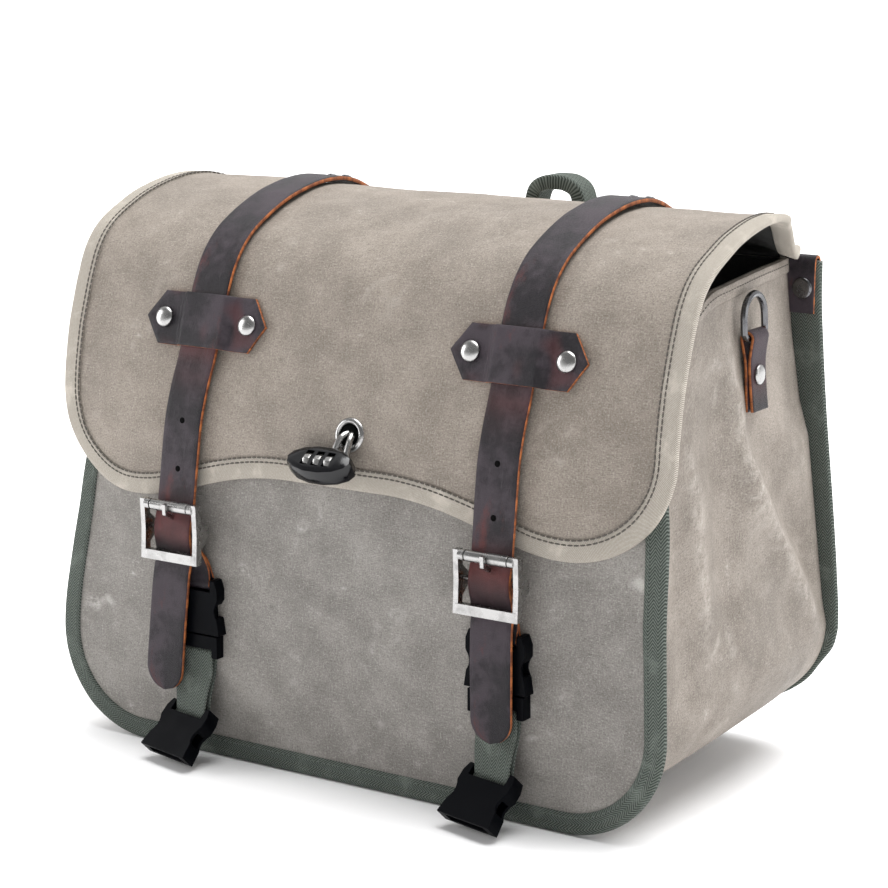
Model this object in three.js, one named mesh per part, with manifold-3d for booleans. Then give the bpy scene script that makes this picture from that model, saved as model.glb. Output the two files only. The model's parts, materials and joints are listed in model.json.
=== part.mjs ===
// A canvas pannier bag with a strapped flap, leather trim and plastic release buckles.
// Millimetres. +X is the bag's right, +Y its back, +Z up. The bag stands on z = 0.
import * as THREE from "three";
import { mergeVertices } from "three/addons/utils/BufferGeometryUtils.js";
import Module from "manifold-3d";

const wasm = await Module();
wasm.setup();

// Driving dimensions.
const GAP = 0.3; // between neighbours that touch on the real bag
const HALF_WIDTH = 198; // of the front and back panels, near the floor
const HALF_DEPTH = 100; // to the outer faces of the two panels
const CLOTH = 3; // canvas with its lining
const CORNER = 58; // radius of the panels' lower corners
const BINDING = 11.5; // width of the edge binding
const BINDING_PROUD = 1.2; // how far the binding stands off its panel
const STRAP_WIDTH = 25;
const STRAP_THICK = 3;
const STRAP_X = 103.4; // from the middle of the bag to the middle of a strap's buckle
const TAIL_Y = -112; // strap's middle at its buckle
const BAR_RADIUS = 1.2; // steel and plastic bars that bands hang on
const EYE_HOLE = BAR_RADIUS + GAP; // round the bar
const EYE_OUTER = 2.9; // outside of a band folded round a bar
const HINGE = { y: 73.5, z: 290 }; // line that the flap folds on
const SLIT = 2.2; // each side of the fold line
const ALL = 900; // longer than the bag: a cut that goes right through

// Side view (y, z) of the front panel and of the flap, outer faces, from the bottom up.
const FRONT_PATH = [[-HALF_DEPTH, 0], [-HALF_DEPTH, 180], [-80, 236]];
const BACK_PATH = [[HALF_DEPTH, 278], [HALF_DEPTH, 0]];
const FLAP_PATH = [
  [-106, 140], [-106, 186], [-101, 206], [-92.5, 227], [-81.5, 262], [-72, 278], [-59, 291],
  [-41, 300], [-23, 306.5], [4, 312], [29, 311], [52, 303], [HINGE.y - SLIT, HINGE.z + 1],
];

// Each side of the bag: its sign on X, then the middle of its strap over the flap and at the tip, the height
// of the tip, and the middle of the chain that hangs behind the strap.
const SIDES = [
  { name: "left", sign: -1, topX: -97.5, tipX: -111.5, tipZ: 38, hangX: -95 },
  { name: "right", sign: 1, topX: 104.4, tipX: 104.4, tipZ: 46, hangX: 104 },
];

// Materials.
const material = (color, roughness, metalness = 0) =>
  new THREE.MeshStandardMaterial({ color, roughness, metalness });
const CANVAS = material(0x8f867b, 0.85);
const GREEN_WEB = material(0x3c4a40, 0.9);
const BEIGE_WEB = material(0xa79c8c, 0.9);
const LEATHER = material(0x3a2a2c, 0.5);
const NICKEL = material(0xc9c9c6, 0.22, 1);
const GUNMETAL = material(0x4b4b4d, 0.35, 1);
const PLASTIC = material(0x141416, 0.4);
const LOCK_BLACK = material(0x101013, 0.25);
const BOARD = material(0x2a2a2a, 0.7);

// ---- solids ----

function solidOf(geometry) {
  const bare = geometry.clone();
  bare.deleteAttribute("normal");
  bare.deleteAttribute("uv");
  const merged = mergeVertices(bare, 1e-4);
  return new wasm.Manifold(
    new wasm.Mesh({
      numProp: 3,
      vertProperties: Float32Array.from(merged.attributes.position.array),
      triVerts: Uint32Array.from(merged.index.array),
    }),
  );
}

function geometryOf(solid) {
  const { vertProperties, triVerts } = solid.getMesh();
  const indexed = new THREE.BufferGeometry();
  indexed.setAttribute("position", new THREE.BufferAttribute(vertProperties, 3));
  indexed.setIndex(new THREE.BufferAttribute(triVerts, 1));
  const flat = indexed.toNonIndexed();
  flat.computeVertexNormals();
  return flat;
}

function joined(solids) {
  return solids.reduce((whole, piece) => whole.add(piece));
}

// A shape extruded from 0 to depth along +Z.
function extruded(shape, depth, roundSteps = 8) {
  return new THREE.ExtrudeGeometry(shape, { depth, bevelEnabled: false, curveSegments: roundSteps });
}

function alongZ(shape, from, to) {
  return solidOf(extruded(shape, to - from).translate(0, 0, from));
}

// A shape drawn in x and z, extruded between two values of y.
function alongY(shape, from, to, roundSteps = 8) {
  return solidOf(extruded(shape, to - from, roundSteps).rotateX(Math.PI / 2).translate(0, to, 0));
}

// A shape drawn in y and z, extruded over a width centred on x.
function alongX(shape, x, width, roundSteps = 8) {
  const turn = new THREE.Matrix4().makeBasis(
    new THREE.Vector3(0, 1, 0),
    new THREE.Vector3(0, 0, 1),
    new THREE.Vector3(1, 0, 0),
  );
  const geometry = extruded(shape, width, roundSteps).applyMatrix4(turn);
  return solidOf(geometry.translate(x - width / 2, 0, 0));
}

function box(width, depth, height, x, y, z) {
  return solidOf(new THREE.BoxGeometry(width, depth, height).translate(x, y, z));
}

// A round bar along X, centred on x.
function barX(radius, length, x, y, z, sides = 12) {
  const bar = new THREE.CylinderGeometry(radius, radius, length, sides).rotateZ(Math.PI / 2);
  return solidOf(bar.translate(x, y, z));
}

// A round pin along Y, centred on y.
function pinY(radius, length, x, y, z, sides = 12) {
  const pin = new THREE.CylinderGeometry(radius, radius, length, sides);
  return solidOf(pin.translate(x, y, z));
}

// ---- outlines ----

function polygon(points) {
  return new THREE.Shape(points.map(([a, b]) => new THREE.Vector2(a, b)));
}

// An open path of points moved sideways by a distance, positive to the left of its direction.
function offsetPath(path, distance) {
  const points = path.map(([a, b]) => new THREE.Vector2(a, b));
  const normals = points.slice(1).map((point, i) => {
    const along = point.clone().sub(points[i]).normalize();
    return new THREE.Vector2(-along.y, along.x);
  });
  return points.map((point, i) => {
    const before = normals[Math.max(i - 1, 0)];
    const after = normals[Math.min(i, normals.length - 1)];
    const mitre = before.clone().add(after).normalize();
    const reach = distance / mitre.dot(after);
    return [point.x + mitre.x * reach, point.y + mitre.y * reach];
  });
}

// A sheet whose side view lies between two offsets of a path.
function sheet(path, inner, outer, x, width) {
  const ring = [...offsetPath(path, outer), ...offsetPath(path, inner).reverse()];
  return alongX(polygon(ring), x, width);
}

// Outline (x, z) of the front or back panel, moved inwards by inset and carried above its top by extra.
function panelOutline(top, inset, extra = 0) {
  const shape = new THREE.Shape();
  const centreX = HALF_WIDTH - CORNER;
  const radius = CORNER - inset;
  const topHalf = top.half - inset;
  shape.moveTo(-topHalf, top.z + extra);
  shape.lineTo(-topHalf, top.z);
  shape.absarc(-centreX, CORNER, radius, Math.PI, 1.5 * Math.PI, false);
  shape.absarc(centreX, CORNER, radius, 1.5 * Math.PI, 2 * Math.PI, false);
  shape.lineTo(topHalf, top.z);
  shape.lineTo(topHalf, top.z + extra);
  return shape;
}

// Outline (x, z) of the hanging front of the flap: two lobes with a shallow arch between them.
function flapFrontOutline(inset) {
  const radius = 55;
  const centreX = HALF_WIDTH - radius;
  const lobeZ = 146;
  const archZ = 167;
  const archHalf = 30;
  const arc = radius - inset;
  const shape = new THREE.Shape();
  shape.moveTo(HALF_WIDTH - inset, ALL);
  shape.absarc(centreX, lobeZ + radius, arc, 0, -Math.PI / 2, true);
  shape.bezierCurveTo(105, lobeZ + inset, 80, archZ + inset, archHalf, archZ + inset);
  shape.lineTo(-archHalf, archZ + inset);
  shape.bezierCurveTo(-80, archZ + inset, -105, lobeZ + inset, -centreX, lobeZ + inset);
  shape.absarc(-centreX, lobeZ + radius, arc, -Math.PI / 2, -Math.PI, true);
  shape.lineTo(-(HALF_WIDTH - inset), ALL);
  return shape;
}

// Outline (x, y) of the flap seen from above: it narrows behind the ridge.
function flapTopOutline(inset) {
  const wide = HALF_WIDTH - inset;
  const narrow = 176 - inset;
  return polygon([
    [-wide, -ALL], [wide, -ALL], [wide, 30], [narrow + 4, 74], [narrow, 84], [narrow, ALL],
    [-narrow, ALL], [-narrow, 84], [-narrow - 4, 74], [-wide, 30],
  ]);
}

// Everything inside both of the flap's outlines.
function flapPrism(inset) {
  return alongY(flapFrontOutline(inset), -ALL, ALL, 6).intersect(alongZ(flapTopOutline(inset), -ALL, ALL));
}

// ---- bag body ----

const FRONT_TOP = { half: 191, z: 236 };
const BACK_TOP = { half: 182, z: 278 };

function panel(path, top) {
  return sheet(path, -CLOTH, 0, 0, ALL).intersect(
    alongY(panelOutline(top, BINDING + GAP), -ALL, ALL, 6),
  );
}

// The binding runs down one side of a panel, along its bottom and up the other.
function panelBinding(path, top) {
  const outer = alongY(panelOutline(top, 0), -ALL, ALL, 6);
  const inner = alongY(panelOutline(top, BINDING, ALL), -ALL, ALL, 6);
  return sheet(path, -CLOTH, BINDING_PROUD, 0, ALL).intersect(outer.subtract(inner));
}

// Sides and bottom in one band, set in from the panels' edges; its top edge slopes up to the back.
const GUSSET_INSET = BINDING + 0.6;
const GUSSET_TOP = { half: 187, z: 300 };
function gusset() {
  const outer = alongY(panelOutline(GUSSET_TOP, GUSSET_INSET), -ALL, ALL, 6);
  const hollow = panelOutline(GUSSET_TOP, GUSSET_INSET + CLOTH, ALL);
  const inner = alongY(hollow, -ALL, ALL, 6);
  const front = offsetPath(FRONT_PATH, -CLOTH - GAP);
  const back = HALF_DEPTH - CLOTH - GAP;
  const patchZ = 247;
  const patchFront = 91;
  const sideView = polygon([
    [front[0][0], -ALL], front[1], front[2], [-60, 262], [0, 276], [patchFront, 278],
    [patchFront, patchZ], [back, patchZ], [back, -ALL],
  ]);
  return outer.subtract(inner).intersect(alongX(sideView, 0, ALL));
}

// Strip of the flap behind its fold, sewn over the top of the back panel.
function flapRear() {
  const proud = HALF_DEPTH + BINDING_PROUD + GAP + CLOTH;
  const path = [[HINGE.y + SLIT, HINGE.z - 1], [96, 285.5], [proud, 281.5], [proud, 252]];
  const outline = polygon([[-160, 0], [160, 0], [160, ALL], [-160, ALL]]);
  return sheet(path, -CLOTH, 0, 0, ALL).intersect(alongY(outline, -ALL, ALL));
}

// Leather folded over a top corner of the back panel: a leaf in front, a leaf behind and the fold.
const PATCH = { x: 172.5, width: 19, bottomZ: 249.5, foldZ: 278.6, thick: 2 };
const PATCH_LEAF_Y = HALF_DEPTH - CLOTH - GAP; // back of the front leaf
function cornerPatch(sign) {
  const behind = HALF_DEPTH + BINDING_PROUD + GAP;
  const { bottomZ, foldZ } = PATCH;
  const path = [[behind, bottomZ], [behind, foldZ], [PATCH_LEAF_Y, foldZ], [PATCH_LEAF_Y, bottomZ]];
  return sheet(path, -PATCH.thick, 0, sign * PATCH.x, PATCH.width);
}

// A domed rivet head on the plane y = 0, towards -Y.
function rivetHead(radius, height) {
  const rim = 0.8;
  const steps = 3;
  const profile = [new THREE.Vector2(0, 0), new THREE.Vector2(radius, 0)];
  for (let i = 0; i < steps; i++) {
    const angle = (i / steps) * (Math.PI / 2);
    const rise = rim + (height - rim) * Math.sin(angle);
    profile.push(new THREE.Vector2(radius * Math.cos(angle), rise));
  }
  profile.push(new THREE.Vector2(0, height));
  return new THREE.LatheGeometry(profile, 12).rotateX(Math.PI);
}

// A leather tab on the side of the bag: two layers joined under its rivet, open at the top for a ring.
const RING_TAB = { width: 18, layer: 2.2, foldZ: 17, bottomZ: -22 };
const RING_WIRE = 2;
const RING_EYE = RING_WIRE + GAP;
function ringTab() {
  const outer = RING_EYE + RING_TAB.layer;
  const shape = new THREE.Shape();
  shape.moveTo(-outer, RING_TAB.foldZ);
  shape.lineTo(-RING_TAB.layer, RING_TAB.foldZ - 9);
  shape.lineTo(-RING_TAB.layer, RING_TAB.bottomZ);
  shape.lineTo(RING_TAB.layer, RING_TAB.bottomZ);
  shape.lineTo(RING_TAB.layer, RING_TAB.foldZ - 9);
  shape.lineTo(outer, RING_TAB.foldZ);
  shape.absarc(0, RING_TAB.foldZ, outer, 0, Math.PI, false);
  const eye = new THREE.Path();
  eye.absarc(0, RING_TAB.foldZ, RING_EYE, 0, 2 * Math.PI, true);
  shape.holes.push(eye);
  return extruded(shape, RING_TAB.width, 6)
    .translate(0, 0, -RING_TAB.width / 2)
    .rotateX(Math.PI / 2);
}

// Wire of a given radius bent through points in the x = 0 plane and closed on itself.
function wireLoop(points, radius, sides) {
  const positions = [];
  const indices = [];
  const across = new THREE.Vector3(1, 0, 0);
  points.forEach((point, i) => {
    const before = points[(i + points.length - 1) % points.length];
    const after = points[(i + 1) % points.length];
    const along = after.clone().sub(before).normalize();
    const outward = new THREE.Vector3().crossVectors(along, across);
    const next = ((i + 1) % points.length) * sides;
    for (let k = 0; k < sides; k++) {
      const angle = (k / sides) * 2 * Math.PI;
      const place = point.clone().addScaledVector(across, radius * Math.cos(angle));
      place.addScaledVector(outward, radius * Math.sin(angle));
      positions.push(place.x, place.y, place.z);
      const turn = (k + 1) % sides;
      indices.push(i * sides + k, i * sides + turn, next + k);
      indices.push(next + k, i * sides + turn, next + turn);
    }
  });
  const wire = new THREE.BufferGeometry();
  wire.setAttribute("position", new THREE.Float32BufferAttribute(positions, 3));
  wire.setIndex(indices);
  return wire;
}

// A D-ring in the y-z plane: its straight bar is on z = 0 and its bow above.
function dRing() {
  const half = 12;
  const rise = 11;
  const steps = 12;
  const points = [new THREE.Vector3(0, half - 3, 0), new THREE.Vector3(0, half, 3)];
  for (let i = 0; i <= steps; i++) {
    const angle = (i / steps) * Math.PI;
    points.push(new THREE.Vector3(0, half * Math.cos(angle), rise + half * Math.sin(angle)));
  }
  points.push(new THREE.Vector3(0, -half, 3), new THREE.Vector3(0, -half + 3, 0));
  return wireLoop(points, RING_WIRE, 8);
}

// A webbing loop standing on z = 0: two legs and an arched top, open between them.
const HANDLE = { half: 22, width: 17, webbing: 5, baseZ: 262, topZ: 317, x: 9 };
function carryHandle() {
  const archRise = 24;
  const shoulderZ = HANDLE.topZ - HANDLE.baseZ - archRise;
  const arch = (half, rise) => {
    const shape = new THREE.Shape();
    shape.moveTo(-half, 0);
    shape.lineTo(-half, shoulderZ);
    shape.bezierCurveTo(-half, shoulderZ + rise, -half / 2, shoulderZ + rise, 0, shoulderZ + rise);
    shape.bezierCurveTo(half / 2, shoulderZ + rise, half, shoulderZ + rise, half, shoulderZ);
    shape.lineTo(half, 0);
    return shape;
  };
  const outer = alongY(arch(HANDLE.half, archRise), 0, HANDLE.width, 5);
  const { half, webbing, width } = HANDLE;
  const inner = alongY(arch(half - webbing, archRise - webbing), -1, width + 1, 5);
  const mouth = box(2 * (half - webbing), ALL, 2, 0, 0, 0);
  return outer.subtract(inner).subtract(mouth);
}

// A low metal loop on the front panel, behind the eyelet.
const EYELET = { x: 9, y: -103.5, z: 196, radius: 9.3, hole: 6 };
function lockStaple() {
  const plate = box(16, 1.2, 10, 0, -0.6, 0);
  const post = box(2, 1.6, 4, 0, -1.9, 0);
  return plate.add(post.translate(-4, 0, 0)).add(post.translate(4, 0, 0));
}

// ---- flap and its straps ----

function flapPanel() {
  const hole = pinY(EYELET.hole + 1.3, 60, EYELET.x, -HALF_DEPTH, EYELET.z, 16);
  return sheet(FLAP_PATH, -CLOTH, 0, 0, ALL).intersect(flapPrism(BINDING + GAP)).subtract(hole);
}

function flapBinding() {
  const thick = sheet(FLAP_PATH, -CLOTH - 0.4, 1, 0, ALL);
  return thick.intersect(flapPrism(0).subtract(flapPrism(BINDING)));
}

// A rolled metal eyelet round the flap's lock hole, its front face towards -Y.
function eyelet() {
  const { hole, radius } = EYELET;
  const collar = hole + 0.6;
  const back = 3.4;
  const profile = [
    [hole, -back], [collar, -back], [collar, GAP], [radius, GAP], [radius, 0.9], [radius - 1.4, 1.7],
    [hole + 1, 1.7], [hole, 0.9], [hole, -back],
  ];
  return new THREE.LatheGeometry(profile.map(([r, z]) => new THREE.Vector2(r, z)), 20).rotateX(Math.PI);
}

// Side view of a strap's middle line: its tail, its run through the buckle and its way over the flap.
const OVER_FLAP = 1.3 + STRAP_THICK / 2;
const HOLES = [{ z: 192, half: 2 }, { z: 165, half: 2 }, { z: 138.5, half: 5.4 }];
function strap(side) {
  const half = STRAP_WIDTH / 2;
  const lean = [[side.topX, ALL], [side.topX, 245], [side.sign * STRAP_X, BUCKLE.z], [side.tipX, side.tipZ + 13]];
  const leftEdge = lean.map(([x, z]) => [x - half, z]);
  const rightEdge = lean.map(([x, z]) => [x + half, z]);
  const round = [0.25, 0.5, 0.75].map((turn) => {
    const angle = turn * Math.PI;
    return [side.tipX - half * Math.cos(angle), side.tipZ + 13 - 13 * Math.sin(angle)];
  });
  const outline = polygon([...leftEdge, ...round, ...rightEdge.reverse()]);
  const tail = [[-114, side.tipZ - 5], [-114, 104], [TAIL_Y, 117], [-114.5, 131], [TAIL_Y, 146], [-109.5, 168]];
  const path = [...tail, ...offsetPath(FLAP_PATH, OVER_FLAP).slice(1, -1)];
  const band = sheet(path, -STRAP_THICK / 2, STRAP_THICK / 2, side.topX, 4 * STRAP_WIDTH);
  const cuts = HOLES.map(({ z, half: reach }) => {
    const radius = 2.1;
    const slot = pinY(radius, 30, 0, -110, 0, 8).scale([1, 1, reach / radius]);
    return slot.translate(middleAt(lean, z), 0, z);
  });
  return band.intersect(alongY(outline, -ALL, ALL)).subtract(joined(cuts));
}

// The x of a strap's middle line at a height.
function middleAt(lean, z) {
  const i = lean.findIndex((point) => point[1] <= z);
  const [upper, lower] = [lean[i - 1], lean[i]];
  return THREE.MathUtils.mapLinear(z, lower[1], upper[1], lower[0], upper[0]);
}

// Place of a keeper: a flat stretch of the flap, leaning back.
const KEEPER = { y: -87, z: 244.5, lean: Math.atan2(11, 35), width: 82, height: 30, leather: 2.5 };
const KEEPER_RIVET_X = 28.7;

// A leather tab with pointed ends, on the x-z plane, bulging towards -Y over the strap.
function keeper() {
  const { width, height, leather } = KEEPER;
  const point = 10;
  const half = width / 2;
  const hexagon = polygon([
    [-half, 0], [-half + point, -height / 2], [half - point, -height / 2],
    [half, 0], [half - point, height / 2], [-half + point, height / 2],
  ]);
  const bridge = STRAP_WIDTH / 2 + 1;
  const top = OVER_FLAP + STRAP_THICK / 2 + GAP;
  const under = [[-half, GAP], [-bridge - 4, GAP], [-bridge, top], [bridge, top], [bridge + 4, GAP], [half, GAP]];
  const over = offsetPath(under, leather).reverse();
  const section = alongZ(polygon([...under, ...over].map(([x, out]) => [x, -out])), -half, half);
  return section.intersect(alongY(hexagon, -ALL, ALL));
}

// ---- hardware at the strap's buckle ----

const BUCKLE = { y: -117, z: 131, halfWidth: 19.5, side: 3, rollerZ: 14, barZ: -14, tongueY: 7.2 };
const ROLLER = { outer: 3.1, inner: 2.1, half: 12.6 };

// The buckle's frame about its own middle: bowed sides, a round top bar, a flat bottom bar, a hidden middle bar.
function rollerBuckle() {
  const { halfWidth, side, rollerZ, barZ, tongueY } = BUCKLE;
  const sideX = halfWidth - side / 2;
  const bow = polygon([
    [-2.4, barZ - 3], [2, barZ - 3], [2.6, -8], [tongueY + 2, -2.4], [tongueY + 2, 2.4],
    [2.6, 8], [2.6, rollerZ + 3], [-2.4, rollerZ + 3], [-1.6, 0],
  ]);
  const sides = [alongX(bow, -sideX, side), alongX(bow, sideX, side)];
  const bars = [
    barX(ROLLER.inner - GAP, 2 * sideX, 0, 0, rollerZ),
    box(2 * sideX, 4.4, 5.4, 0, -0.2, barZ - 0.3),
    barX(BAR_RADIUS, 2 * sideX, 0, tongueY, 0),
  ];
  const collarWidth = 3.4;
  const collarX = halfWidth - side - collarWidth / 2 + 0.2;
  const collars = [-1, 1].map((s) => barX(ROLLER.outer, collarWidth, s * collarX, 0, rollerZ));
  return joined([...sides, ...bars, ...collars]);
}

function roller() {
  const { outer, inner, half } = ROLLER;
  const points = [[inner, -half], [outer, -half], [outer, half], [inner, half], [inner, -half]];
  const tube = new THREE.LatheGeometry(points.map(([r, z]) => new THREE.Vector2(r, z)), 16);
  return tube.rotateZ(Math.PI / 2);
}

// The tongue, about the middle bar: an eye, and a pin out through the strap and over the roller.
function prong() {
  const half = 1.1;
  const route = [[1.8, 1.2], [-2.9, 5.4], [-6.4, 8], [-11.6, 10.8], [-12.2, 16.4]];
  const eye = barX(EYE_OUTER, 2 * half, 0, 0, 0).subtract(barX(EYE_HOLE, 3 * half, 0, 0, 0));
  const pin = sheet(route, -half, half, 0, 2 * half).subtract(barX(EYE_HOLE, 3 * half, 0, 0, 0));
  return joined([eye, pin]);
}

// A band folded round two parallel bars, drawn from the upper bar down to the lower one (y, z of each).
function foldedBand(upper, lower, halfThick, width) {
  const run = new THREE.Vector2(lower[0] - upper[0], lower[1] - upper[1]);
  const lean = new THREE.Vector2(-run.y, run.x).normalize().multiplyScalar(halfThick);
  const web = polygon([
    [upper[0] + lean.x, upper[1] + lean.y], [lower[0] + lean.x, lower[1] + lean.y],
    [lower[0] - lean.x, lower[1] - lean.y], [upper[0] - lean.x, upper[1] - lean.y],
  ]);
  const ends = [upper, lower];
  const eyes = ends.map(([y, z]) => barX(EYE_OUTER, width, 0, y, z));
  const holes = ends.map(([y, z]) => barX(EYE_HOLE, width + 2, 0, y, z));
  return joined([alongX(web, 0, width), ...eyes]).subtract(joined(holes));
}

// ---- plastic side-release hardware ----

// Socket half about its bar on X, its mouth below and its waist between.
const SOCKET = { half: 19, length: 28, thick: 9.4, wall: 1.9, earTop: 3.2 };
const PLUG = { half: 17, reach: 19, base: 11, arm: 4.4, thick: 5 };
function releaseSocket() {
  const { half, length, thick, wall, earTop } = SOCKET;
  const outline = new THREE.Shape();
  outline.moveTo(-half + 3, earTop);
  outline.lineTo(-half + 1, -2);
  outline.lineTo(-half + 1, -8);
  outline.quadraticCurveTo(-half + 5.5, -14, -half + 1.5, -19);
  outline.lineTo(-half, -length);
  outline.lineTo(half, -length);
  outline.lineTo(half - 1.5, -19);
  outline.quadraticCurveTo(half - 5.5, -14, half - 1, -8);
  outline.lineTo(half - 1, -2);
  outline.lineTo(half - 3, earTop);
  const shell = alongY(outline, -thick / 2, thick / 2, 5);
  const cavityDepth = length - 7;
  const cavity = box(2 * half - 10.4, thick - 2 * wall, cavityDepth, 0, 0, -length + cavityDepth / 2 - 0.01);
  const bandSlot = box(STRAP_WIDTH + 1, thick + 1, 2 * EYE_OUTER + 1, 0, 0, 0);
  const windows = box(2 * half + 1, thick - 2 * wall, 7.5, 0, 0, -14.5);
  const bar = barX(BAR_RADIUS, 2 * half - 8, 0, 0, 0);
  return shell.subtract(joined([cavity, bandSlot, windows])).add(bar);
}

// Plug half about its own bar on X: a block with a slot for its band, two arms and a guide reaching up.
function releasePlug() {
  const { half, reach, base, arm, thick } = PLUG;
  const block = box(2 * half, 8.4, base + 1.6, 0, 0, (base - 1.6) / 2);
  const bandSlot = box(STRAP_WIDTH + 1, 10, 2 * EYE_OUTER + 1, 0, 0, 0);
  const bar = barX(BAR_RADIUS, 2 * half - 4, 0, 0, 0);
  const armX = half - 3.6 - arm / 2;
  const arms = [-1, 1].map((s) => box(arm, thick, reach, s * armX, 0, base + reach / 2 - 0.5));
  const guide = box(3, 3.4, reach, 0, 0, base + reach / 2 - 0.5);
  return block.subtract(bandSlot).add(joined([bar, guide, ...arms]));
}

// ---- padlock ----

const LOCK = { length: 41, height: 20, thick: 11, x: 0.5, y: -118, z: 181, tilt: -0.97 };
const DIAL = { radius: 4.6, width: 4, pitch: 6.8, y: -2.1 };
const SHACKLE_WIRE = 1.8;
const LOCK_SLIDE = new THREE.Vector3(0, -0.35, -0.937); // the way the open lock comes off its shackle

// The shackle, about the middle of the eyelet: both legs come up out of the lock and turn into the hole.
function padlockShackle(radius) {
  const leg = { inner: -4, outer: 3.6 };
  const route = new THREE.CatmullRomCurve3([
    new THREE.Vector3(leg.outer, -10, -13),
    new THREE.Vector3(leg.outer, -7.4, -6),
    new THREE.Vector3(leg.outer - 0.6, -3.4, -0.6),
    new THREE.Vector3(0, 2.6, 1.2),
    new THREE.Vector3(leg.inner + 1.2, -3.4, -0.6),
    new THREE.Vector3(leg.inner, -7.4, -6),
    new THREE.Vector3(leg.inner, -10, -13),
  ]);
  const section = new THREE.Shape();
  section.absarc(0, 0, radius, 0, 2 * Math.PI, false);
  return new THREE.ExtrudeGeometry(section, { extrudePath: route, steps: 16, curveSegments: 4 });
}

// Turns and moves a geometry from the lock's own axes to the middle of the eyelet.
function inLock(geometry) {
  return geometry.rotateX(LOCK.tilt).translate(LOCK.x - EYELET.x, LOCK.y - EYELET.y, LOCK.z - EYELET.z);
}

// The padlock's body: a rounded oval along X with a slot for each dial and bores that the legs slide in.
function padlockBody() {
  const { length, height, thick } = LOCK;
  const oval = new THREE.Shape();
  oval.absellipse(0, 0, length / 2, height / 2, 0, 2 * Math.PI, false, 0);
  const bevel = 2.4;
  const body = new THREE.ExtrudeGeometry(oval, {
    depth: thick - 2 * bevel,
    bevelThickness: bevel,
    bevelSize: bevel,
    bevelOffset: -bevel,
    bevelSegments: 2,
    curveSegments: 7,
  });
  const slot = { width: DIAL.width + 2 * GAP, depth: 11.4, height: 2 * DIAL.radius + 1 };
  const slots = [-1, 0, 1].map((i) => {
    const cut = new THREE.BoxGeometry(slot.width, slot.depth, slot.height);
    return solidOf(inLock(cut.translate(i * DIAL.pitch, DIAL.y - 0.7, 0)));
  });
  const solid = solidOf(inLock(body.translate(0, 0, -thick / 2 + bevel).rotateX(Math.PI / 2)));
  const bores = [0, 2, 4, 6].map((pull) => {
    const away = LOCK_SLIDE.clone().multiplyScalar(-pull);
    return solidOf(padlockShackle(SHACKLE_WIRE + GAP).translate(away.x, away.y, away.z));
  });
  return solid.subtract(joined([...slots, ...bores]));
}

function lockDial() {
  const rim = DIAL.radius - 0.4;
  const half = DIAL.width / 2;
  const points = [[0, -half], [rim, -half], [DIAL.radius, 0], [rim, half], [0, half]];
  const wheel = new THREE.LatheGeometry(points.map(([r, z]) => new THREE.Vector2(r, z)), 10);
  return wheel.rotateZ(Math.PI / 2);
}

// ---- assembly ----

const bag = new THREE.Group();

function place(name, shape, look, parent = bag) {
  const geometry = shape.isBufferGeometry ? shape : geometryOf(shape);
  const mesh = new THREE.Mesh(geometry, look);
  mesh.name = name;
  parent.add(mesh);
  return mesh;
}

function groupAt(x, y, z, parent = bag) {
  const group = new THREE.Group();
  group.position.set(x, y, z);
  parent.add(group);
  return group;
}

function addBody() {
  place("front_panel", panel(FRONT_PATH, FRONT_TOP), CANVAS);
  place("front_binding", panelBinding(FRONT_PATH, FRONT_TOP), GREEN_WEB);
  place("back_panel", panel(BACK_PATH, BACK_TOP), CANVAS);
  place("back_binding", panelBinding(BACK_PATH, BACK_TOP), GREEN_WEB);
  place("gusset", gusset(), CANVAS);
  place("base_board", box(250, 178, 2.5, 0, 0, GUSSET_INSET + CLOTH + GAP + 1.25), BOARD);
  const stiffenerY = HALF_DEPTH - CLOTH - GAP - 1.25;
  place("back_stiffener", box(280, 2.5, 205, 0, stiffenerY, 136), BOARD);
  place("flap_rear", flapRear(), CANVAS);
  const handle = groupAt(HANDLE.x, HALF_DEPTH + BINDING_PROUD + CLOTH + 2 * GAP + 0.1, HANDLE.baseZ);
  place("carry_handle", carryHandle(), GREEN_WEB, handle);
  const staple = groupAt(EYELET.x, -95.6, EYELET.z + 1);
  staple.rotation.x = -Math.atan2(20, 56);
  place("lock_staple", lockStaple(), NICKEL, staple);
}

function addSideTrim({ name, sign }) {
  place(`corner_patch_${name}`, cornerPatch(sign), LEATHER);
  const cornerRivet = groupAt(sign * 175, PATCH_LEAF_Y - PATCH.thick - GAP, 263);
  place(`corner_rivet_${name}`, rivetHead(6, 1.8), GUNMETAL, cornerRivet);
  const tab = groupAt(sign * 183.6, 20.5, 230);
  tab.rotation.y = -sign * Math.atan2(11, 241);
  place(`ring_tab_${name}`, ringTab(), LEATHER, tab);
  const ring = groupAt(0, 0, RING_TAB.foldZ, tab);
  place(`d_ring_${name}`, dRing(), GUNMETAL, ring);
  const rivet = groupAt(sign * (RING_TAB.layer + GAP), 0, -3, tab);
  rivet.rotation.z = (sign * Math.PI) / 2;
  place(`ring_tab_rivet_${name}`, rivetHead(5.5, 1.8), NICKEL, rivet);
}

function addFlap() {
  place("flap_panel", flapPanel(), CANVAS);
  place("flap_binding", flapBinding(), BEIGE_WEB);
  const lockHole = groupAt(EYELET.x, EYELET.y, EYELET.z);
  lockHole.rotation.x = -Math.atan2(5, 20);
  place("eyelet", eyelet(), NICKEL, lockHole);
}

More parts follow.
